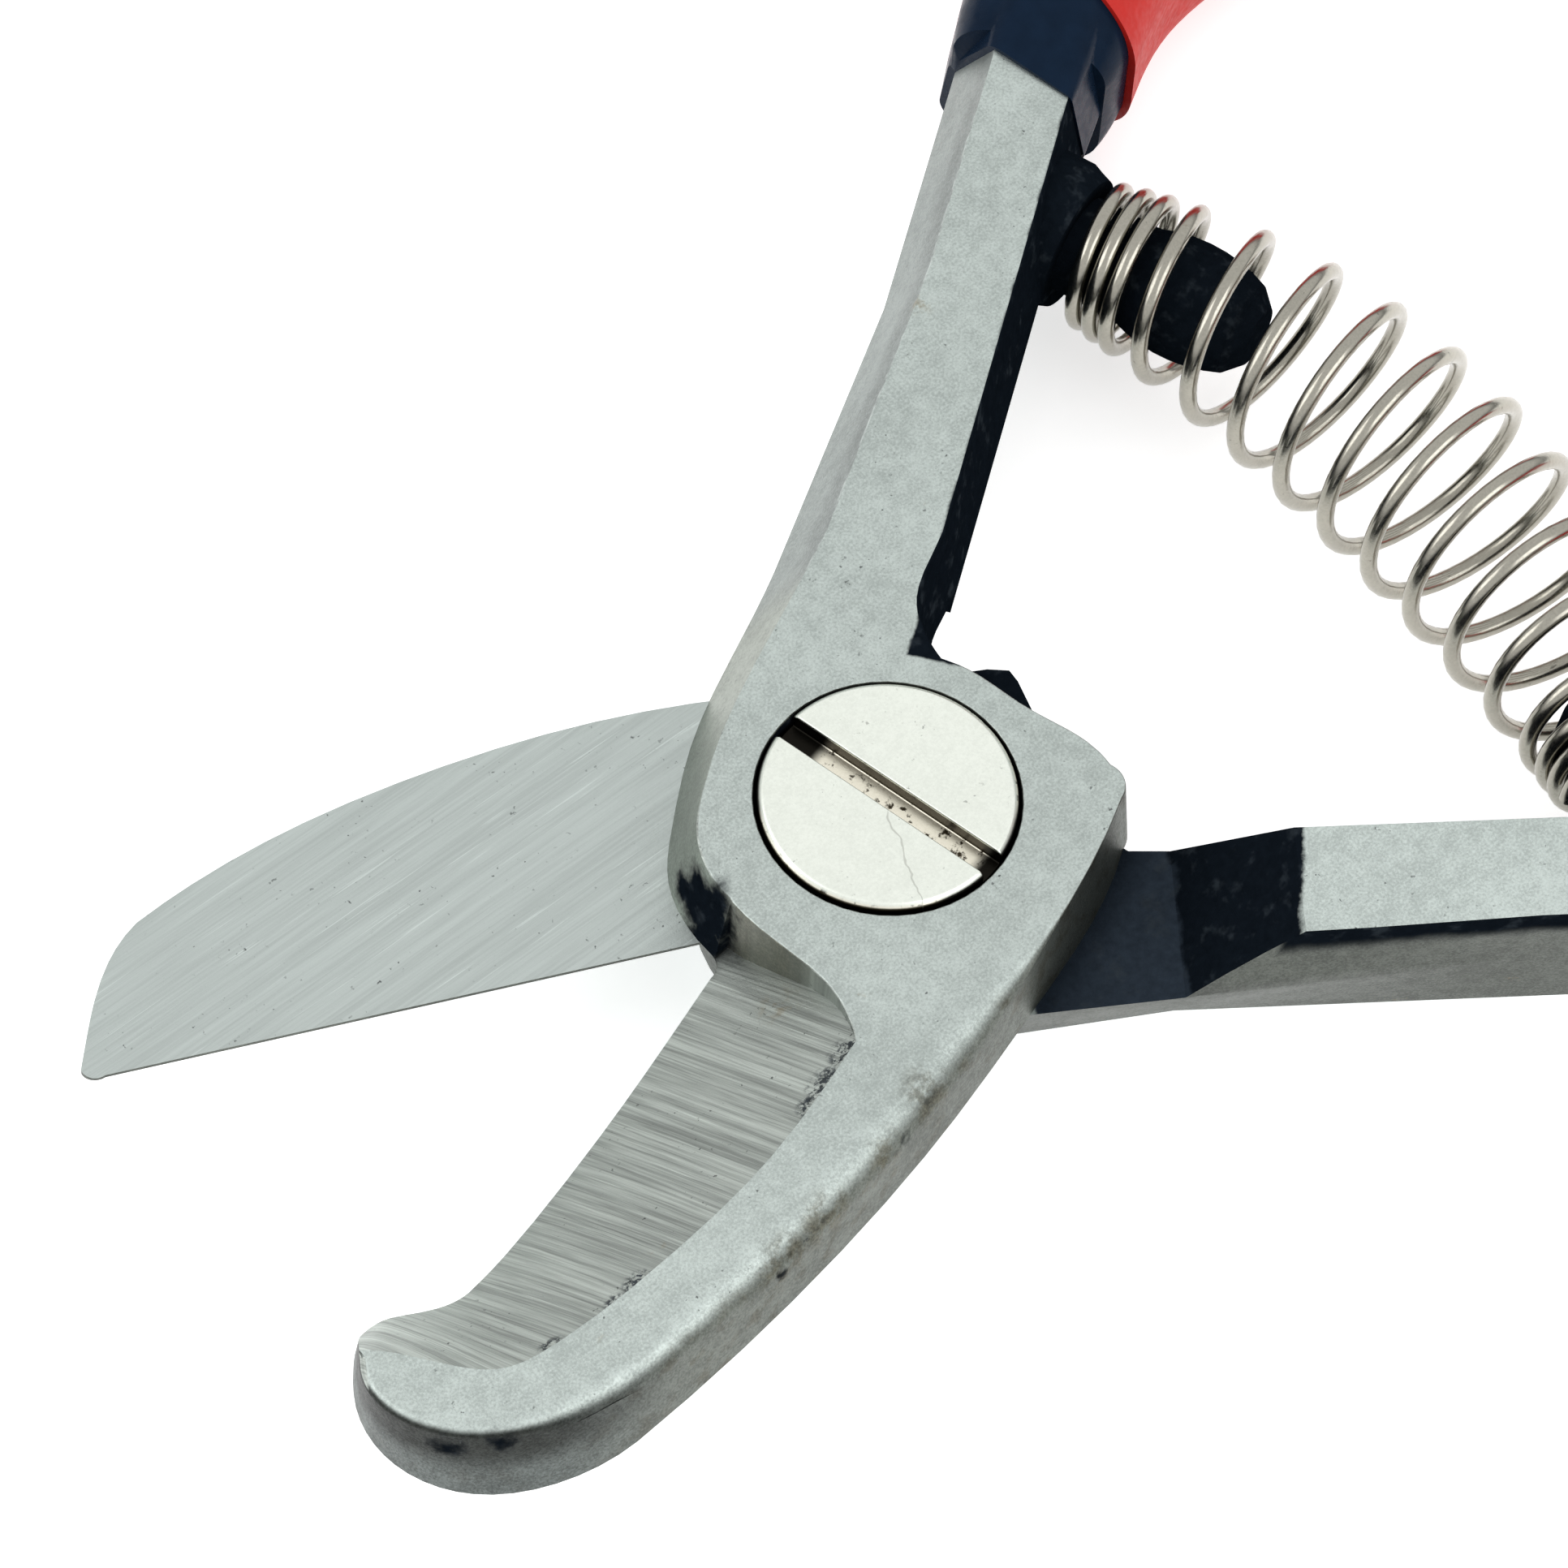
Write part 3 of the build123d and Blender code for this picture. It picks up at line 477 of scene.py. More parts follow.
class ForgedSteel(Surface):
    """Material of one forged half, built up from the bare steel to the scale on top."""

    def __init__(self, name, steel, half):
        super().__init__(name, steel.pale)
        self.steel = steel
        ahead, outside = tang_directions(half)
        self.x, self.y, self.z = self.split(self.position)
        self.lean_x, self.lean_y, self.up = self.split(self.normal)
        self.lean_out = self.dot(self.normal, outside)
        self.along = self.dot(self.position, ahead)
        self.outward = self.dot(self.position, outside)
        self.top = self.between(self.up, LEANING, LEVEL)
        self.facing_in = self.times(self.minus(-0.3, self.lean_out), 4.0)
        self.tumbled = self.effect(tumbled_steel_group, Position=self.position)
        self.height = self.tumbled["Height"]
        self.black = 0.0
        self.colour = self.shaded(steel.pale, 0.20, self.tumbled["Tone"])

    def shaded(self, tint, contrast, tone):
        """A tint that a tone lightens and darkens."""
        return self.mix(tone, tinted(tint, 1 - contrast), tinted(tint, 1 + contrast))

    def paint(self, mask, tint, contrast, tone=None):
        """Covers the masked area with a tint, mottled like the steel unless a tone is given."""
        tone = self.tumbled["Tone"] if tone is None else tone
        self.colour = self.mix(mask, self.colour, self.shaded(tint, contrast, tone))

    def grind(self, mask, heading, tint, contrast, depth, scratched=0.8):
        """Ground area whose lines run along a heading in plan, in degrees."""
        turn = radians(heading)
        lines = self.effect(
            grind_lines_group, Position=self.position, Across=(-sin(turn), cos(turn), 0),
            Along=(cos(turn), sin(turn), 0))
        self.paint(mask, tint, contrast, lines["Tone"])
        self.paint(self.times(mask, lines["Scratch"], scratched), tinted(tint, 1.55), 0.05)
        self.height = self.plus(self.height, self.times(mask, lines["Height"], depth))

    def stain(self, places, strength):
        """Rust stains at given places, and a few small ones anywhere."""
        spots = self.between(self.spots(self.position, places), -0.3, 1.2)
        torn = self.patches(self.position, 1.4, 4, 0.65, 0.42, 0.66)
        self.paint(self.times(spots, torn, strength), self.steel.rust, 0.25)
        small = self.effect(stains_group, Position=self.position)
        self.paint(self.times(small["Mask"], 0.35), self.steel.rust, 0.25)

    def scale(self, distance, raggedness, tint, softness=0.14, strength=1.0):
        """Forging scale where the distance is positive, with a torn edge and patches of painted sheen."""
        patch = self.effect(
            ragged_patch_group, Position=self.position, Distance=distance, Raggedness=raggedness,
            Softness=softness)
        mask = self.times(patch["Mask"], strength)
        mottle = self.noise(self.position, 1.3, 4, 0.65)
        self.paint(mask, tint, 0.5, mottle)
        # painted sheen: lighter patches on the scale stand in for its reflections
        sheen = self.patches(self.position, 0.6, 3, 0.6, 0.54, 0.74)
        self.paint(self.times(mask, sheen, 0.6), SHEEN, 0.4, mottle)
        self.black = self.most(self.black, mask)

    def finish(self):
        """Adds the specks and feeds the shader."""
        self.paint(self.times(self.tumbled["Speck"], self.minus(0.8, self.black)), SPECK, 0.2)
        self.give("Base Color", self.colour)
        self.give("Roughness", self.between(self.tumbled["Tone"], 0, 1, 0.50, 0.42))
        self.give("Metallic", self.between(self.black, 0, 1, 1, 0))
        self.give("Specular IOR Level", 0.0)
        self.bump(self.height, 0.42, 0.05)
        return self.material


class HookSteel(ForgedSteel):
    """Steel of the hook half, with its ground bevel, dark outer wall and black inner side."""

    def __init__(self, steel):
        super().__init__("Hook steel", steel, HOOK)
        self.walls = self.between(self.size(self.up), LEVEL, 0.45)
        self.paint_faces()
        self.paint_chamfer()
        self.paint_tip()
        self.grind_bevel()
        self.stain(HOOK_RUST, 0.6)
        self.blacken_hollows()
        self.mark_edges()

    def paint_faces(self):
        """Top faces painted brighter towards the jaw as painted light, walls darkened as painted shade,
        brown patches on the walls, and the boss's side walls painted lighter.
        """
        lit = self.times(self.between(self.x, -10, 40), self.top)
        self.paint(lit, tinted(self.steel.pale, 1.09), 0.20)
        # painted shade: the walls are darker than their forged finish
        self.paint(self.walls, tinted(self.steel.wall, 0.85), 0.3)
        brown = self.patches(self.position, 0.55, 4, 0.6, 0.50, 0.68)
        self.paint(self.times(self.walls, brown, 0.55), WALL_BROWN, 0.3)
        # painted light: the walls on the boss's side are painted lighter than the others
        lit_boss_side = self.times(self.walls, self.between(self.y, 1, -3))
        self.paint(lit_boss_side, tinted(self.steel.wall, 1.75), 0.2)

    def paint_chamfer(self):
        """The tang's outer chamfer in painted shade, darker towards the top, with a broken painted highlight
        along its upper edge.
        """
        chamfer = self.times(
            self.between(self.along, 12, 18), self.between(self.up, LEVEL, LEANING),
            self.between(self.lean_out, 0.2, 0.4))
        # painted shade: the chamfer is a darker copy of the pale steel
        self.paint(chamfer, tinted(self.steel.pale, 0.52), 0.14)
        shade = self.times(chamfer, self.between(self.z, 12.5, 15.0), 0.75)
        self.paint(shade, tinted(self.steel.pale, 0.36), 0.2)
        # breaks in the painted highlight along the chamfer's upper edge
        glint_breaks = self.patches(self.position, 0.5, 3, 0.6, 0.45, 0.65)
        glint = self.times(chamfer, self.between(self.z, 15.6, 15.85), glint_breaks, 0.8)
        self.paint(glint, tinted(self.steel.pale, 0.95), 0.05)

    def paint_tip(self):
        """Grey wall near the hook's tip, nearly black at its rim."""
        tip = self.times(self.walls, self.between(self.x, 34, 47), 0.9)
        self.paint(self.times(tip, 0.7), TIP_GREY, 0.4)
        rim = self.times(tip, self.between(self.z, 11.0, 14.0))
        self.paint(rim, tinted(self.steel.wall, 0.13), 0.4)

    def grind_bevel(self):
        """The jaw's ground bevel, and the wall where the wheel stopped: ground steel painted darker as
        painted shade of the concave run-out, with brown marks.
        """
        bevel = self.times(
            self.between(self.x, 10, 11), self.between(self.up, 0.3, 0.5),
            self.between(self.up, LEVEL, 0.94), self.between(self.lean_y, -0.1, -0.2))
        self.grind(bevel, BEVEL_LINES, self.steel.ground, 0.40, 1.2)
        wheel_stop = self.times(
            self.walls, self.between(self.lean_x, 0.5, 0.7), self.between(self.x, 17.5, 16.5),
            self.between(self.y, -1.5, 0.5))
        # painted shade: the wheel-stop wall is ground steel painted darker
        self.grind(wheel_stop, BEVEL_LINES, tinted(self.steel.ground, 0.80), 0.4, 0.8)
        # brown marks and painted shade, stronger below y 8.5 mm
        browned_and_shaded = self.between(self.y, 8.5, 3.5)
        self.paint(self.times(wheel_stop, browned_and_shaded, 0.75), STOP_BROWN_AND_SHADE, 0.4)

    def blacken_hollows(self):
        """Black scale on the tang's inner side, and black painted shade in the gap of the bolt's
        counterbore.
        """
        inside_face = self.minus(HOOK_FACE_INNER + 0.1, self.outward)
        inner = self.least(self.minus(self.along, 11.0), self.most(inside_face, self.facing_in))
        level_position = self.stretch(self.position, (1, 1, 0))
        radial = self.add("VectorMath", level_position, operation="LENGTH").outputs["Value"]
        # painted shade: the counterbore's wall is blackened for the shade in the gap round the bolt's head
        painted_bore_shade = self.least(
            self.minus(COUNTERBORE_RADIUS + 0.05, radial), self.minus(HOOK_TOP - 0.2, self.z))
        self.scale(self.most(inner, self.times(painted_bore_shade, 3.0)), 0.25, self.steel.black)

    def mark_edges(self):
        """Scale at the bevel's foot and the tip, and marks along the jaw's edges."""
        black = self.steel.black
        self.scale(self.spots(self.position, BEVEL_FOOT_SCALE), 1.4, black, 0.8)
        self.scale(self.spots(self.position, TIP_SCALE), 1.5, black, 0.7)
        beside_top = self.times(self.minus(0.975, self.up), 20.0)
        chipped = self.least(
            self.minus(self.z, 15.45), self.spots(self.position, BEVEL_EDGE_PATCHES), beside_top)
        speckle = self.patches(self.position, 2.2, 4, 0.7, 0.44, 0.56)
        self.paint(self.times(self.between(chipped, -0.25, 0.35), speckle, 0.9), self.steel.slate, 0.5)
        rubbed = self.between(self.spots(self.position, RUBBED_EDGE), -0.4, 1.2)
        torn = self.patches(self.position, 0.9, 4, 0.65, 0.40, 0.60)
        self.paint(self.times(rubbed, torn, 0.6), EDGE_BROWN, 0.4)
        self.scale(self.spots(self.position, EDGE_POCKS), 1.6, black, 0.4, 0.9)


class BladeSteel(ForgedSteel):
    """Steel of the blade half, with its brushed face, slate neck and black ramp."""

    def __init__(self, steel):
        super().__init__("Blade steel", steel, BLADE)
        self.upper = self.times(self.minus(self.up, STEEP), 6.0)
        self.paint_faces()
        self.blacken_tang_edge()
        self.scale_neck()
        self.blacken_ramp()

    def paint_faces(self):
        """Walls darkened as painted shade, the brushed blade, and the tang's top painted brighter as painted
        light.
        """
        flatness = self.size(self.up)
        # painted shade: the walls are darker than their forged finish
        self.paint(self.between(flatness, 0.85, STEEP), tinted(self.steel.wall, 0.58), 0.28)
        blade = self.times(self.between(flatness, 0.85, 0.92), self.between(self.along, 4, 0))
        self.grind(blade, BLADE_LINES, self.steel.blade, 0.09, 0.8, 0.4)
        self.stain(BLADE_RUST, 0.7)
        # painted light: the tang's top is a brighter copy of the pale steel
        tang_top = self.times(self.top, self.between(self.along, RAMP_END - 1, RAMP_END))
        self.paint(tang_top, tinted(self.steel.pale, 1.14), 0.20)

    def blacken_tang_edge(self):
        """Black scale in the crease under the tang's outer edge."""
        crease = self.least(
            self.minus(self.z, 13.8), self.times(self.minus(self.along, RAMP_END - 1.5), 2.0),
            self.times(self.minus(self.lean_out, 0.4), 20.0))
        self.scale(crease, 0.4, self.steel.black, 0.9)

    def scale_neck(self):
        """Slate scale on the neck, and a painted shadow of the other half's boss beside it."""
        neck = self.least(
            self.upper, self.minus(RAMP_START + 2, self.along), self.minus(self.along, 9.0),
            self.plus(self.outward, 3.0))
        self.scale(neck, 0.3, self.steel.slate)
        # painted shadow: black on the neck beside the hook's boss, where its shadow falls
        beside_boss = self.minus(self.dot(self.position, BOSS_SIDE), BOSS_SIDE_AWAY)
        painted_boss_shadow = self.times(
            self.between(beside_boss, 5.0, 1.8), self.between(self.up, 0.8, 0.9),
            self.between(self.along, 8, 10), self.between(self.along, RAMP_START, RAMP_START - 2), 0.85)
        self.paint(painted_boss_shadow, self.steel.black, 0.4)

    def blacken_ramp(self):
        """Black scale on the ramp, the tang's inner side and the shoulder."""
        slant = self.times(self.minus(BLADE_FACE_OUTER, self.outward), 0.12)
        ramp = self.least(
            self.upper, self.minus(self.plus(slant, RAMP_END), self.along),
            self.minus(self.along, RAMP_START + 0.2))
        inside_face = self.least(
            self.minus(BLADE_FACE_INNER, self.outward), self.minus(self.along, RAMP_START))
        inner = self.least(self.minus(self.along, 13.5), self.most(self.facing_in, inside_face))
        shoulder = self.spots(self.position, SHOULDER_SCALE)
        self.scale(self.most(ramp, inner, shoulder), 0.6, self.steel.black, 0.2)


class PlatedMetal(Surface):
    """Bright plated metal with a mottled colour and fine pits."""

    def __init__(self, name, tint, roughness):
        super().__init__(name, tint)
        tumbled = self.effect(tumbled_steel_group, Position=self.position)
        mottled = self.mix(tumbled["Tone"], tinted(tint, 0.93), tinted(tint, 1.05))
        self.colour = self.mix(self.times(tumbled["Speck"], 0.7), mottled, tinted(tint, 0.3))
        self.give("Roughness", self.between(tumbled["Tone"], 0, 1, roughness + 0.05, roughness - 0.04))
        self.give("Metallic", 1.0)
        self.bump(tumbled["Height"], 0.12, 0.03)

    def finish(self):
        self.give("Base Color", self.colour)
        return self.material


def bolt_metal(pivot):
    """Nickel of the slotted bolt, with grime and painted shade in the slot and one hairline scratch."""
    metal = PlatedMetal("Nickel plate", pivot.nickel, pivot.nickel_dullness)
    where = metal.split(metal.position)
    turn = radians(SLOT_ANGLE)
    slot_run = metal.dot(metal.position, Vector((cos(turn), sin(turn), 0)))
    sunk = metal.between(where["Z"], HEAD_TOP - 0.1, HEAD_TOP - 0.3)
    floor = metal.between(metal.split(metal.normal)["Z"], 0.4, 0.8)
    clean = metal.times(floor, metal.patches(metal.position, 1.6, 3, 0.6, 0.34, 0.46))
    # the slot is painted dark brown for dirt and as painted shade, with clean patches on its floor
    slot = metal.mix(clean, pivot.slot_grime_and_shade, SLOT_FLOOR)
    both_ends = metal.between(metal.size(slot_run), 6.8, 7.8)
    ends = metal.most(both_ends, metal.between(slot_run, 5.2, 6.2))
    metal.colour = metal.mix(sunk, metal.colour, metal.mix(ends, slot, SLOT_END))
    wander = metal.times(metal.minus(metal.noise(metal.position, 0.5, 2), 0.5), 1.6)
    beside = metal.size(metal.plus(metal.dot(metal.position, HAIR_ACROSS), -HAIR_AWAY, wander))
    hair = metal.times(metal.between(beside, 0.10, 0.03), metal.between(where["Y"], 0.6, 1.4), 0.4)
    metal.colour = metal.mix(hair, metal.colour, HAIRLINE)
    return metal.finish()


def plain_plate(name, tint, roughness):
    """Plated metal with a few rust specks."""
    metal = PlatedMetal(name, tint, roughness)
    stains = metal.effect(stains_group, Position=metal.position)
    metal.colour = metal.mix(metal.times(stains["Mask"], 0.6), metal.colour, PLATE_RUST)
    return metal.finish()


def dipped_vinyl(grips):
    """Glossy dipped vinyl with a faint orange-peel skin."""
    tint = tuple(grips.vinyl)
    vinyl = Surface("Dipped vinyl", tint)
    where = vinyl.position
    vinyl.give("Base Color", vinyl.mix(vinyl.noise(where, 0.6, 3), tint, tinted(tint, 1.8)))
    vinyl.give("Roughness", vinyl.between(vinyl.noise(where, 1.1, 4), 0.3, 0.7, 0.22, 0.34))
    vinyl.give("Specular IOR Level", 0.035)
    fine = vinyl.times(vinyl.noise(where, 2.2, 2), 0.3)
    vinyl.bump(vinyl.plus(vinyl.noise(where, 0.5, 2), fine), 0.2, 0.10)
    return vinyl.material


def grained_cover(grips):
    """Dull red cover with a fine leathery grain."""
    tint = tuple(grips.cover)
    cover = Surface("Grained cover", tint)
    where = cover.position
    clouds = cover.noise(where, 0.8, 4)
    cover.give("Base Color", cover.mix(clouds, tinted(tint, 0.88), tinted(tint, 1.12)))
    cover.give("Roughness", cover.between(cover.noise(where, 2.0, 3), 0.3, 0.7, 0.46, 0.60))
    cover.give("Specular IOR Level", 0.35)
    cells = cover.add_named("TexVoronoi", {"Vector": where, "Scale": 1.8})
    cover.bump(cells["Distance"], 0.25, 0.08)
    return cover.material


def profile(corner, below, inside):
    """Points of a quarter round from below the corner to inside it."""
    pull = cos(pi / 4)
    points = []
    for row in range(RIM_ROWS + 1):
        share = row / RIM_ROWS
        weights = ((1 - share) ** 2, 2 * pull * share * (1 - share), share ** 2)
        total = below * weights[0] + corner * weights[1] + inside * weights[2]
        points.append(total / sum(weights))
    return points


def is_level(face, height):
    """Whether a face lies at one height, in millimetres, and faces up."""
    at_height = all(abs(vert.co.z / MM - height) < HEIGHT_WITHIN for vert in face.verts)
    return at_height and face.normal.z > FLAT


def rim_edges(level_faces):
    """Start and end of each edge where a level face meets a wall, and that wall."""
    inside = set(level_faces)
    rim = {}
    for face in level_faces:
        for loop in face.loops:
            wall = next(other for other in loop.edge.link_faces if other is not face)
            if wall not in inside:
                rim[loop.vert, loop.link_loop_next.vert] = wall
    return rim


def corner_sides(rim, radius_at):
    """Inward and downward directions and radius of the rim edges at each corner."""
    sides = {}
    for (start, end), wall in rim.items():
        run = (end.co - start.co).normalized()
        inward = Vector((-run.y, run.x, 0))
        down = (Vector((0, 0, -1)) + wall.normal * wall.normal.z).normalized()
        middle = (start.co + end.co) / (2 * MM)
        radius = 0 if wall.normal.z > STEEP else radius_at(middle, wall.normal) * MM
        for vert in (start, end):
            sides.setdefault(vert, []).append((inward, down, radius))
    return sides


def round_corner(skin, vert, sides):
    """Points of the rounding at one corner, from the wall up. One with no radius stays a point."""
    radius = min(radius for inward, down, radius in sides)
    if radius < SMALLEST:
        return [vert] * (RIM_ROWS + 1)
    corner = vert.co.copy()
    first_inward, first_down, _ = sides[0]
    last_inward, last_down, _ = sides[-1]
    miter = (first_inward + last_inward) / max(SHARPEST_MITER, 1 + first_inward.dot(last_inward))
    down = (first_down + last_down).normalized()
    points = profile(corner, corner + down * radius, corner + miter * radius)
    vert.co = points[0]
    return [vert] + [skin.verts.new(point) for point in points[1:]]


def soften_rim(skin, height, radius_at):
    """Rounds the rim of the level faces at one height where they meet steep walls.

    radius_at takes a rim edge's middle in millimetres and its wall's normal and gives millimetres.
    Gives back the edges where a rounding runs out, which stay creases."""
    level_faces = [face for face in skin.faces if is_level(face, height)]
    rim = rim_edges(level_faces)
    sides = corner_sides(rim, radius_at)
    bmesh.ops.delete(skin, geom=level_faces, context="FACES")
    rounds = {vert: round_corner(skin, vert, found) for vert, found in sides.items()}
    inner_rim, creases = [], []
    for start, end in rim:
        first, last = rounds[start], rounds[end]
        for row in range(RIM_ROWS):
            ring = list(dict.fromkeys([first[row], last[row], last[row + 1], first[row + 1]]))
            if len(ring) > 2:
                skin.faces.new(ring)
        ends = (first[-1], last[-1])
        inner_rim.append(skin.edges.get(ends) or skin.edges.new(ends))
        if (first[0] is ends[0]) != (last[0] is ends[1]):
            creases.append(skin.edges.get((start, end)))
    filled = bmesh.ops.triangle_fill(skin, edges=inner_rim, use_beauty=True, normal=(0, 0, 1))
    for face in filled["geom"]:
        if isinstance(face, bmesh.types.BMFace) and face.normal.z < 0:
            face.normal_flip()
    return creases


def new_object(name, data):
    """An object that is linked to the scene."""
    made = bpy.data.objects.new(name, data)
    bpy.context.scene.collection.objects.link(made)
    return made


def round_edges(shown, width):
    """Rounds an object's sharp edges."""
    bevel = shown.modifiers.new("Rounded edges", "BEVEL")
    bevel.limit_method = "ANGLE"
    bevel.angle_limit = ROUNDED_ANGLE
    bevel.width = width
    bevel.segments = EDGE_SEGMENTS
    bevel.use_clamp_overlap = False
    bevel.miter_outer = "MITER_SHARP"


def show(node, body, name, material, soften=None, edge=0.0, crease=CREASE_ANGLE):
    """Stands for a CAD node: the same shape with rims softened or edges rounded, on the same body."""
    skin = bmesh.new()
    skin.from_mesh(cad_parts[node].data)
    bmesh.ops.remove_doubles(skin, verts=skin.verts, dist=SMALLEST)
    creases = soften(skin) if soften else []
    if edge:
        bmesh.ops.dissolve_limit(skin, angle_limit=FLAT_ANGLE, verts=skin.verts, edges=skin.edges)
    for face in skin.faces:
        face.smooth = True
    for seam in skin.edges:
        seam.smooth = seam.calc_face_angle() < crease and seam not in creases
    mesh = bpy.data.meshes.new(name)
    skin.to_mesh(mesh)
    skin.free()
    mesh.attributes.remove(mesh.attributes["custom_normal"])
    mesh.materials.append(material)
    shown = new_object(name, mesh)
    if edge:
        round_edges(shown, edge)
    weighted = shown.modifiers.new("Weighted normals", "WEIGHTED_NORMAL")
    weighted.keep_sharp = True
    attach(shown, body)
    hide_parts(node)


class ShowHookHalf(bpy.types.Operator):
    """Soften the hook half's forged edges and give it its steel"""

    bl_idname = "shears.hook_half"
    bl_label = "Hook half"

    def execute(self, context):
        steel = context.scene.shears_steel
        soft, crisp = steel.soft_edge / MM, steel.crisp_edge / MM

        def rounding(middle, wall):
            """Soft along the jaw's outer edge, narrower towards the tip, and crisp elsewhere."""
            beside_jaw = middle.y > 8 and middle.x > -8
            if not beside_jaw or (wall.y <= 0 and middle.x <= 40):
                return crisp
            narrowing = 0.36 * ease(middle.x, 29, 37) + 0.45 * ease(middle.x, 42, 49)
            return crisp + (soft - crisp) * ease(middle.x, -6, 6) * (1 - narrowing)

        show(
            "hook_forging", "hook_half", "hook_half_forging",
            HookSteel(steel).finish(),
            lambda skin: soften_rim(skin, HOOK_TOP, rounding))
        return {"FINISHED"}


class ShowBladeHalf(bpy.types.Operator):
    """Soften the blade half's forged edges and give it its steel"""

    bl_idname = "shears.blade_half"
    bl_label = "Blade half"

    def execute(self, context):
        steel = context.scene.shears_steel
        crisp = steel.crisp_edge / MM
        show(
            "blade_forging", "blade_half", "blade_half_forging",
            BladeSteel(steel).finish(),
            lambda skin: soften_rim(skin, HOOK_TOP, lambda middle, wall: crisp))
        return {"FINISHED"}


class ShowPivot(bpy.types.Operator):
    """Round the edges of the bolt, washers and nut and plate them"""

    bl_idname = "shears.pivot"
    bl_label = "Pivot bolt, washers and nut"

    def execute(self, context):
        pivot = context.scene.shears_pivot
        zinc = plain_plate("Zinc plate", pivot.zinc, pivot.zinc_dullness)
        finishes = {"pivot_bolt": (bolt_metal(pivot), "nickel_plate")}
        for node in ("thrust_washer", "lock_washer", "pivot_nut"):
            finishes[node] = (zinc, "zinc_plate")
        for node, (metal, slot) in finishes.items():
            show(node, "blade_half", node + "_plated", metal, edge=pivot.edge)
        return {"FINISHED"}


class ShowGrips(bpy.types.Operator):
    """Give both grips their dipped sleeves and grained covers"""

    bl_idname = "shears.grips"
    bl_label = "Grips"

    def execute(self, context):
        grips = context.scene.shears_grips
        finishes = {
            "sleeve": (dipped_vinyl(grips), "black_vinyl"),
            "cover": (grained_cover(grips), "red_cover"),
        }
        for half in ("hook", "blade"):
            for piece, (material, slot) in finishes.items():
                node = f"{half}_grip_{piece}"
                show(node, half + "_half", node + "_skin", material, crease=MOULDED_CREASE)
        return {"FINISHED"}


class BarrelSpring:
    """Shape of the barrel spring, in millimetres: where its wire is after a number of turns."""

    def __init__(self, spring):
        self.end_radius = spring.end_radius / MM
        self.middle_radius = spring.middle_radius / MM
        self.close_pitch = spring.close_pitch / MM
        self.coils = spring.coils
        self.close_turns = spring.close_turns
        self.opening_turns = spring.opening_turns
        ahead, outside = tang_directions(HOOK)
        lean = radians(PEG_LEAN)
        axis = -ahead * sin(lean) - outside * cos(lean)
        start = ahead * PEG_ALONG + axis * (PEG_SEAT + (spring.wire_radius + spring.end_gap) / MM)
        bow = spring.bow / MM
        self.bow_radius = (start.y ** 2 + bow ** 2) / (2 * bow)
        self.centre = Vector((start.x - bow + self.bow_radius, 0, SHEAR_Z))
        self.half_angle = asin(-start.y / self.bow_radius)
        length = 2 * self.bow_radius * self.half_angle
        open_turns = self.coils - 2 * self.close_turns - self.opening_turns
        self.opening = (length - self.coils * self.close_pitch) / open_turns

    def opened(self, turns):
        """How much of some turns counts as open, with a smooth start."""
        share = turns / self.opening_turns
        if share < 0:
            return 0
        if share > 1:
            return self.opening_turns * (share - 0.5)
        return self.opening_turns * (share ** 3 - share ** 4 / 2)

    def open_share(self, turn):
        """Turns wound open up to here."""
        closing = turn - self.coils + self.close_turns + self.opening_turns
        return self.opened(turn - self.close_turns) - self.opened(closing)

    def place(self, turn):
        """Middle of the wire, and the direction from the coil's axis to it."""
        run = self.close_pitch * turn + self.opening * self.open_share(turn)
        bow = run / self.bow_radius - self.half_angle
        narrowing = (self.middle_radius - self.end_radius) * (bow / self.half_angle) ** 2
        outward = Vector((-cos(bow), sin(bow), 0))
        swing = 2 * pi * turn
        spoke = outward * cos(swing) + Vector((0, 0, sin(swing)))
        middle = self.centre + outward * self.bow_radius + spoke * (self.middle_radius - narrowing)
        return middle, spoke


class ShowSpring(bpy.types.Operator):
    """Wind the barrel spring so that it closes up between the pegs, and plate it and the catch"""

    bl_idname = "shears.spring"
    bl_label = "Return spring and catch"

    def execute(self, context):
        spring = context.scene.shears_spring
        wire = plain_plate("Spring wire", spring.nickel, spring.dullness)
        self.wind(spring, wire)
        show("catch_bail", "catch", "catch_wire", wire, edge=spring.catch_edge)
        return {"FINISHED"}

    def wind(self, spring, wire):
        """A round wire along the coils; each ring of points turns as one when the shears close."""
        shape = BarrelSpring(spring)
        count = round(shape.coils * spring.steps)
        points, shares = [], []
        for ring in range(count + 1):
            turn = shape.coils * ring / count
            middle, spoke = shape.place(turn)
            step = 0.5 / spring.steps
            tangent = (shape.place(turn + step)[0] - shape.place(turn - step)[0]).normalized()
            spoke = (spoke - tangent * spoke.dot(tangent)).normalized()
            beside = tangent.cross(spoke)
            for side in range(spring.sides):
                angle = 2 * pi * side / spring.sides
                round_wire = (spoke * cos(angle) + beside * sin(angle)) * spring.wire_radius
                points.append(middle * MM + round_wire)
                shares.append(shape.open_share(turn) / shape.open_share(shape.coils))
        faces = [tuple(range(spring.sides))[::-1]]
        for first in range(0, count * spring.sides, spring.sides):
            for side in range(spring.sides):
                here, beyond = first + side, first + (side + 1) % spring.sides
                faces.append((here, beyond, beyond + spring.sides, here + spring.sides))
        faces.append(tuple(range(count * spring.sides, len(points))))
        mesh = bpy.data.meshes.new("return_spring_wire")
        mesh.from_pydata(points, [], faces)
        mesh.materials.append(wire)
        mesh.shade_smooth()
        mesh.set_sharp_from_angle(angle=MOULDED_CREASE)
        coil = new_object("return_spring_wire", mesh)
        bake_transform(coil, "hook_half", "blade_half", start=tuple(points[0]), end=tuple(points[-1]))
        mesh.attributes["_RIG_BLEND"].data.foreach_set("value", shares)
        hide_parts("return_spring")


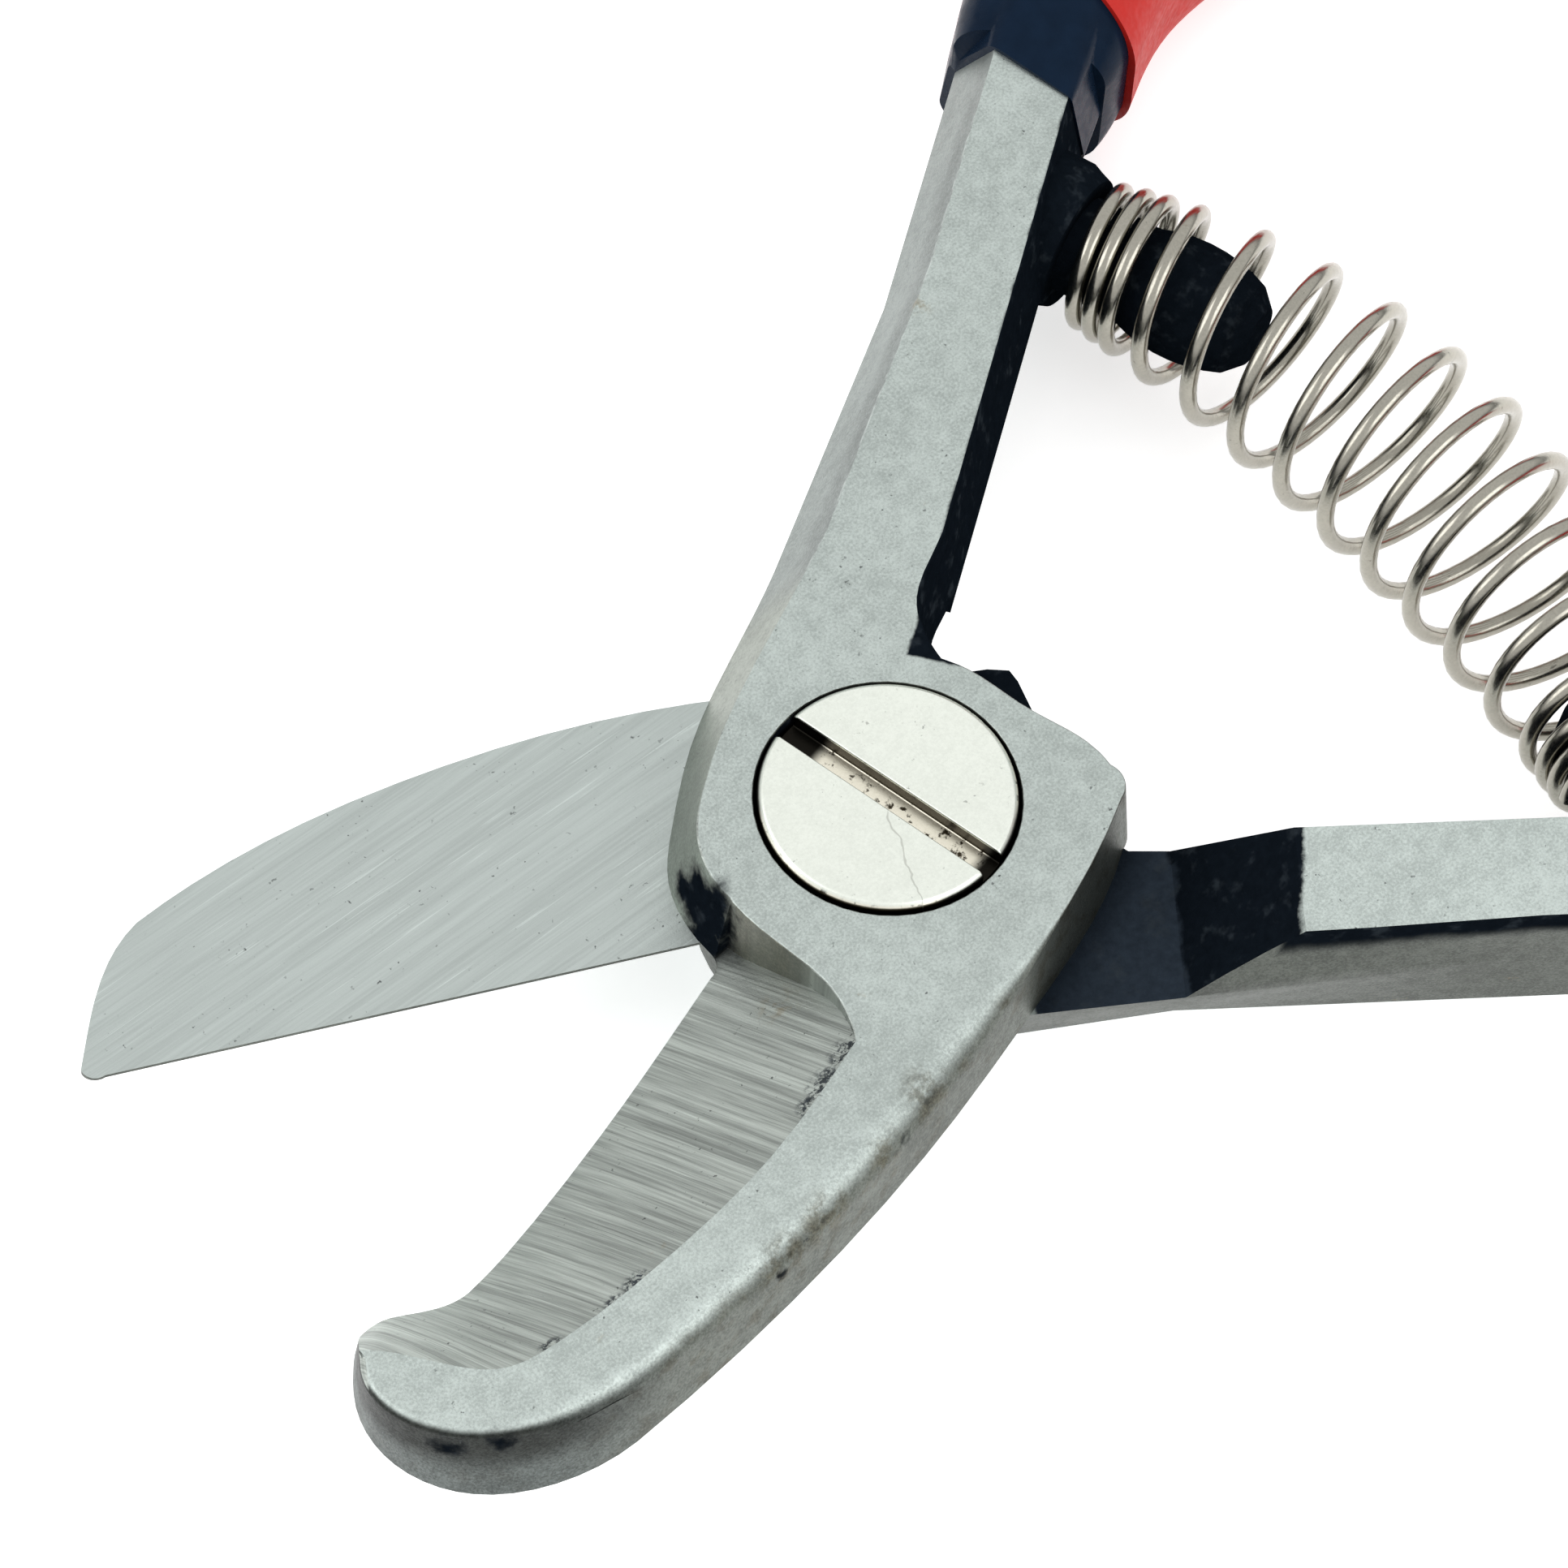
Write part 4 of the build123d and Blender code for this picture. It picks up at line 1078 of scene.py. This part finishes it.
class SetStage(bpy.types.Operator):
    """Lay the floor, hang the lights and place the camera"""

    bl_idname = "shears.stage"
    bl_label = "Stage"

    def execute(self, context):
        stage = context.scene.shears_stage
        self.lay_floor(stage)
        self.light_sky(context, stage)
        self.hang_lights()
        self.place_camera(context, stage)
        context.scene.view_settings.view_transform = "Standard"
        return {"FINISHED"}

    def lay_floor(self, stage):
        """A plain floor that lights itself a little where it is seen, and keeps the shadow."""
        half = FLOOR_HALF
        corners = [(-half, -half, 0), (half, -half, 0), (half, half, 0), (-half, half, 0)]
        mesh = bpy.data.meshes.new("floor")
        mesh.from_pydata(corners, [], [(0, 1, 2, 3)])
        floor = new_object("floor", mesh)
        floor.location.z = -FLOOR_GAP
        material = bpy.data.materials.new("Floor")
        material.use_nodes = True
        wires = Wiring(material.node_tree)
        shader = material.node_tree.nodes["Principled BSDF"]
        shader.inputs["Base Color"].default_value = (*stage.floor, 1)
        shader.inputs["Roughness"].default_value = 0.9
        shader.inputs["Specular IOR Level"].default_value = 0.0
        shader.inputs["Emission Color"].default_value = (1, 1, 1, 1)
        seen = wires.add("LightPath").outputs
        straight = wires.most(
            seen["Is Camera Ray"], seen["Is Glossy Ray"], seen["Is Transmission Ray"])
        wires.feed(shader.inputs["Emission Strength"], wires.times(straight, stage.lift))
        mesh.materials.append(material)

    def light_sky(self, context, stage):
        """Bright overhead and dim along the horizon, as under a studio tent."""
        world = bpy.data.worlds.new("Studio")
        world.use_nodes = True
        wires = Wiring(world.node_tree)
        height = wires.split(wires.add("TexCoord").outputs["Generated"])[2]
        shade = wires.mix(wires.between(height, 0.0, 0.32), stage.horizon, stage.sky)
        wires.feed(world.node_tree.nodes["Background"].inputs["Color"], shade)
        context.scene.world = world

    def hang_lights(self):
        """Two softboxes that face the pivot."""
        for name, place in LAMPS.items():
            light = bpy.data.lights.new(name, "AREA")
            light.size = LAMP_SIZE
            light.energy = LAMP_POWER
            lamp = new_object(name, light)
            lamp.location = place
            lamp.rotation_mode = "QUATERNION"
            lamp.rotation_quaternion = (-Vector(place)).to_track_quat("-Z", "Y")

    def place_camera(self, context, stage):
        """The camera on its sight line through the aim, rolled about it."""
        level = cos(stage.elevation)
        back = Vector((sin(stage.azimuth) * level, -cos(stage.azimuth) * level, sin(stage.elevation)))
        facing = (-back).to_track_quat("-Z", "Y").to_matrix().to_4x4()
        camera = new_object("camera", bpy.data.cameras.new("camera"))
        camera.data.lens = stage.lens
        camera.data.sensor_width = SENSOR_WIDTH
        camera.data.clip_start = CLIP_START
        camera.matrix_world = (
            Matrix.Translation(Vector(stage.aim) + back * stage.distance)
            @ facing @ Matrix.Rotation(stage.roll, 4, "Z"))
        context.scene.camera = camera


class ShearsPanel(bpy.types.Panel):
    """Steps that build the shears' looks, in order"""

    bl_idname = "VIEW3D_PT_shears"
    bl_label = "Pruning shears"
    bl_space_type = "VIEW_3D"
    bl_region_type = "UI"
    bl_category = "Shears"

    def draw(self, context):
        for step in STEPS:
            self.layout.operator(step.bl_idname)


SETTINGS = {
    "shears_steel": SteelSettings,
    "shears_pivot": PivotSettings,
    "shears_spring": SpringSettings,
    "shears_grips": GripSettings,
    "shears_stage": StageSettings,
}
STEPS = (ShowHookHalf, ShowBladeHalf, ShowPivot, ShowGrips, ShowSpring, SetStage)


def register():
    for kind in (*SETTINGS.values(), *STEPS, ShearsPanel):
        bpy.utils.register_class(kind)
    for name, kind in SETTINGS.items():
        setattr(bpy.types.Scene, name, PointerProperty(type=kind))


def unregister():
    for name in SETTINGS:
        delattr(bpy.types.Scene, name)
    for kind in reversed((*SETTINGS.values(), *STEPS, ShearsPanel)):
        bpy.utils.unregister_class(kind)


def main():
    register()
    bpy.ops.shears.hook_half()
    bpy.ops.shears.blade_half()
    bpy.ops.shears.pivot()
    bpy.ops.shears.grips()
    bpy.ops.shears.spring()
    bpy.ops.shears.stage()


if __name__ == "__main__":
    main()
